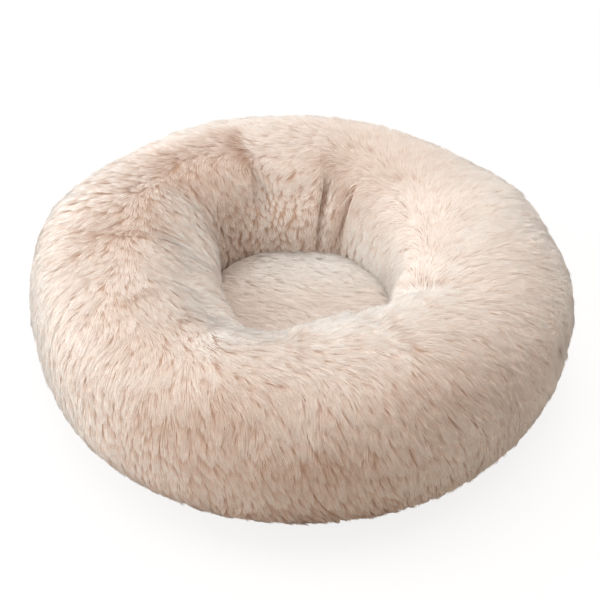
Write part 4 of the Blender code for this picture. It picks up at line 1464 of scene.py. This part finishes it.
for side, (low, high, sewn) in TAPE_LEVELS.items():
    tape = add_piece(f"zip_tape_band_{side}", band(f"zip_tape_band_{side}", low, high), tape_cloth)
    sewing = made_by(stitch_row, f"zip_tape_stitches_{side}", {
        "Arc Radius": TAPE_OUTER - 0.0001, "Height": sewn, "Start Angle": TAPE_START + 0.01,
        "Angle Step": 0.0034 / TAPE_OUTER, "Count": TAPE_STITCHES, "Thread": 0.0004, "Length": 0.0026,
        "Material": base_cloth,
    })
    for piece in (tape, sewing):
        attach(piece, "bed")
    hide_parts(f"zip_tape_{side}")
    high - low

# %% [markdown]
# ## Coils
#
# A nylon coil is a spiral whose turns hook into those of the other tape. Here each turn is one loop,
# tilted a little, and Geometry Nodes repeat it along the arc. The upper coil's loops stand half a step
# further along than the lower coil's, so the two mesh and never touch.

# %% Coils of the zip
COIL_INNER = BASE_RADIUS - 0.0029
COIL_OUTER = BASE_RADIUS - 0.0009
COIL_START = radians(120)
COIL_ARC = radians(62)
COIL_PITCH = 0.0014
COIL_RISE = 0.00145
LOOP_TILT = 0.22
LOOP_SIZES = {"Loop Depth": 0.00066, "Loop Width": 0.00096, "Wire Radius": 0.00033}


def coil_shape(t, given):
    """One loop of nylon across the arc, tilted as a turn of a spiral is."""
    loop = t.add("GeometryNodeCurvePrimitiveCircle", {"Resolution": 12, "Radius": 1.0})
    size = t.vector(given["Loop Depth"], given["Loop Width"], 1.0)
    upright = t.add("GeometryNodeTransform", {"Geometry": loop, "Scale": size, "Rotation": (pi / 2, 0, 0)})
    tilted = t.add("GeometryNodeTransform", {"Geometry": upright, "Rotation": (LOOP_TILT, 0, 0)})
    wire = t.add("GeometryNodeCurvePrimitiveCircle", {"Resolution": 6, "Radius": given["Wire Radius"]})
    return t.add("GeometryNodeCurveToMesh", {"Curve": tilted, "Profile Curve": wire})


coil_row = arc_tree("coil_row", LOOP_SIZES, coil_shape)
nylon = speckled(
    "coil_nylon", {}, {"Scale": 60.0, "Detail": 3.0}, ((0.0, (206, 192, 174)), (1.0, (226, 213, 196))),
    gloss=(0.3, 0.45),
)
for side, shift, direction in (("lower", 0.5, -1), ("upper", 1.0, 1)):
    coil = made_by(coil_row, f"zip_coil_turns_{side}", {
        "Arc Radius": (COIL_INNER + COIL_OUTER) / 2, "Height": ZIP_HEIGHT + direction * COIL_RISE,
        "Start Angle": COIL_START + shift * COIL_PITCH / COIL_OUTER, "Angle Step": COIL_PITCH / COIL_OUTER,
        "Count": int(COIL_ARC * COIL_OUTER / COIL_PITCH), "Material": nylon,
    })
    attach(coil, "bed")
    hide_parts(f"zip_coil_{side}")

# %% [markdown]
# ## Stops
#
# These are small stamped and cast parts, so each starts as a flat outline with rounded edges: a filled
# curve with a bevel, made a mesh and turned to its place. A stop is a clip round the end of both coils.


# %% Outlines, stamped shapes and metal
def stamped(outlines, depth, rounding):
    """Closed solid from flat outlines, with its edges rounded. It lies in XY, centred on z = 0."""
    curve = bpy.data.curves.new("outline", "CURVE")
    curve.dimensions = "2D"
    curve.fill_mode = "BOTH"
    curve.extrude = depth / 2 - rounding
    curve.bevel_depth = rounding
    curve.bevel_resolution = 2
    curve.offset = -rounding
    for outline in outlines:
        spline = curve.splines.new("POLY")
        spline.points.add(len(outline) - 1)
        for point, (x, y) in zip(spline.points, outline):
            point.co = (x, y, 0, 1)
        spline.use_cyclic_u = True
    return plain_mesh("outline", add_piece("outline_guide", curve))


def rounded(corners, radius):
    """Outline with its corners rounded."""
    points = []
    for index, corner in enumerate(corners):
        here = Vector(corner)
        before = (Vector(corners[index - 1]) - here).normalized()
        after = (Vector(corners[(index + 1) % len(corners)]) - here).normalized()
        first, last = here + before * radius, here + after * radius
        for share in (0, 0.25, 0.5, 0.75, 1):
            points.append(tuple(first.lerp(here, share).lerp(here.lerp(last, share), share)))
    return points


def oblong(low, high, half_width, radius):
    """Outline of a bar with rounded corners."""
    corners = [(low, -half_width), (high, -half_width), (high, half_width), (low, half_width)]
    return rounded(corners, radius)


def channel(foot, outer, half_width, inner, half_gap, radius):
    """Outline of a channel that opens toward smaller x, from its foot to its outer face."""
    corners = [(foot, -half_width), (outer, -half_width), (outer, half_width), (foot, half_width)]
    corners += [(foot, half_gap), (inner, half_gap), (inner, -half_gap), (foot, -half_gap)]
    return rounded(corners, radius)


def joined(name, parts, place):
    """One mesh from several, each with a matrix of its own, all moved by place."""
    form = bmesh.new()
    for mesh, turn in parts:
        mesh.transform(turn)
        form.from_mesh(mesh)
    bmesh.ops.remove_doubles(form, verts=form.verts, dist=0.00001)
    bmesh.ops.recalc_face_normals(form, faces=form.faces)
    mesh = bpy.data.meshes.new(name)
    form.to_mesh(mesh)
    form.free()
    mesh.transform(place)
    mesh.shade_smooth()
    return mesh


def metal_material(name, light, dark, roughness, metallic):
    """Stamped or enamelled metal, with faint marks in its colour and gloss."""
    return speckled(
        name, {"Metallic": metallic}, {"Scale": 900.0, "Detail": 5.0}, ((0.35, dark), (0.6, light)),
        gloss=(roughness - 0.08, roughness + 0.12),
    )


# %% Stops at the ends of the zip
def on_zip(angle):
    """Place on the zip's middle line at a plan angle, with X outward."""
    return Matrix.Rotation(angle, 4, "Z") @ Matrix.Translation((0, 0, ZIP_HEIGHT))


ALONG_ARC = Matrix.Rotation(pi / 2, 4, "X")
STOP_GAP = 0.0018 / COIL_OUTER
STOP_ANGLES = {"closed_end": COIL_START - STOP_GAP, "open_end": COIL_START + COIL_ARC + STOP_GAP}
stop_metal = metal_material("stop_metal", (216, 210, 198), (184, 177, 164), 0.35, 1.0)
for end, angle in STOP_ANGLES.items():
    clip = channel(COIL_INNER, COIL_OUTER + 0.0005, 0.0032, COIL_OUTER - 0.0004, 0.0022, 0.0003)
    parts = [(stamped([clip], 0.003, 0.00015), ALONG_ARC)]
    stop = add_piece(f"zip_stop_clip_{end}", joined(f"zip_stop_clip_{end}", parts, on_zip(angle)), stop_metal)
    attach(stop, "bed")
    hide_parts(f"zip_stop_{end}")
    print("stop at", end, len(stop.data.polygons), "faces")

# %% [markdown]
# ## Slider and pull
#
# The slider is a channel that closes over both coils, with an arch on its face. The pull hangs on a pin
# under the arch and can be flipped over to either side. They ride on bodies of their own, so the joints
# of the CAD bed move them.

# %% Slider and pull
SLIDER_LENGTH = 0.011
SLIDER_NECK = 0.0036
SLIDER_PLACE = on_zip(COIL_START + 0.0055 / COIL_OUTER)
PLATE_FOOT = TAPE_OUTER + 0.0003
PLATE_INNER = COIL_OUTER + 0.0003
PLATE_OUTER = PLATE_INNER + 0.0012
ARCH_FOOT = PLATE_OUTER - 0.0006
PULL_AXIS = PLATE_OUTER + 0.00125
RIB_PLACES = (0.0150, 0.0168, 0.0186)
RIB_WIDTH = 0.0009
enamel = metal_material("zip_enamel", (214, 201, 183), (204, 190, 171), 0.38, 0.3)
slider_channel = channel(PLATE_FOOT, PLATE_OUTER, 0.00425, PLATE_INNER, 0.00305, 0.00035)
slider_body = stamped([slider_channel], SLIDER_LENGTH, 0.0002)
for vertex in slider_body.vertices:
    if abs(vertex.co.y) > SLIDER_NECK:
        vertex.co.y *= 1 - 0.09 * (0.5 - vertex.co.z / SLIDER_LENGTH) ** 2
arch = channel(ARCH_FOOT, PLATE_OUTER + 0.0035, 0.0028, PLATE_OUTER + 0.0025, 0.0018, 0.0004)
slider_parts = [(slider_body, ALONG_ARC), (stamped([arch], 0.002, 0.0003), Matrix.Identity(4))]
slider = add_piece("zip_slider_body", joined("zip_slider_body", slider_parts, SLIDER_PLACE), enamel)
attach(slider, "slider")
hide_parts("zip_slider")

tab = oblong(-0.0006, 0.0214, 0.0028, 0.0012)
window = oblong(0.0006, 0.004, 0.0014, 0.0003)
pull_parts = [(stamped([tab, window], 0.0012, 0.00025), ALONG_ARC)]
for place in RIB_PLACES:
    rib = oblong(place, place + RIB_WIDTH, 0.0019, 0.0003)
    pull_parts.append((stamped([rib], 0.0016, 0.0002), ALONG_ARC))
pull_place = SLIDER_PLACE @ Matrix.Translation((PULL_AXIS, 0, 0)) @ Matrix.Rotation(-pi / 2, 4, "Z")
pull = add_piece("zip_pull_tab", joined("zip_pull_tab", pull_parts, pull_place), enamel)
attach(pull, "pull")
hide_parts("zip_pull")
print("slider and pull:", len(slider.data.polygons), len(pull.data.polygons), "faces")
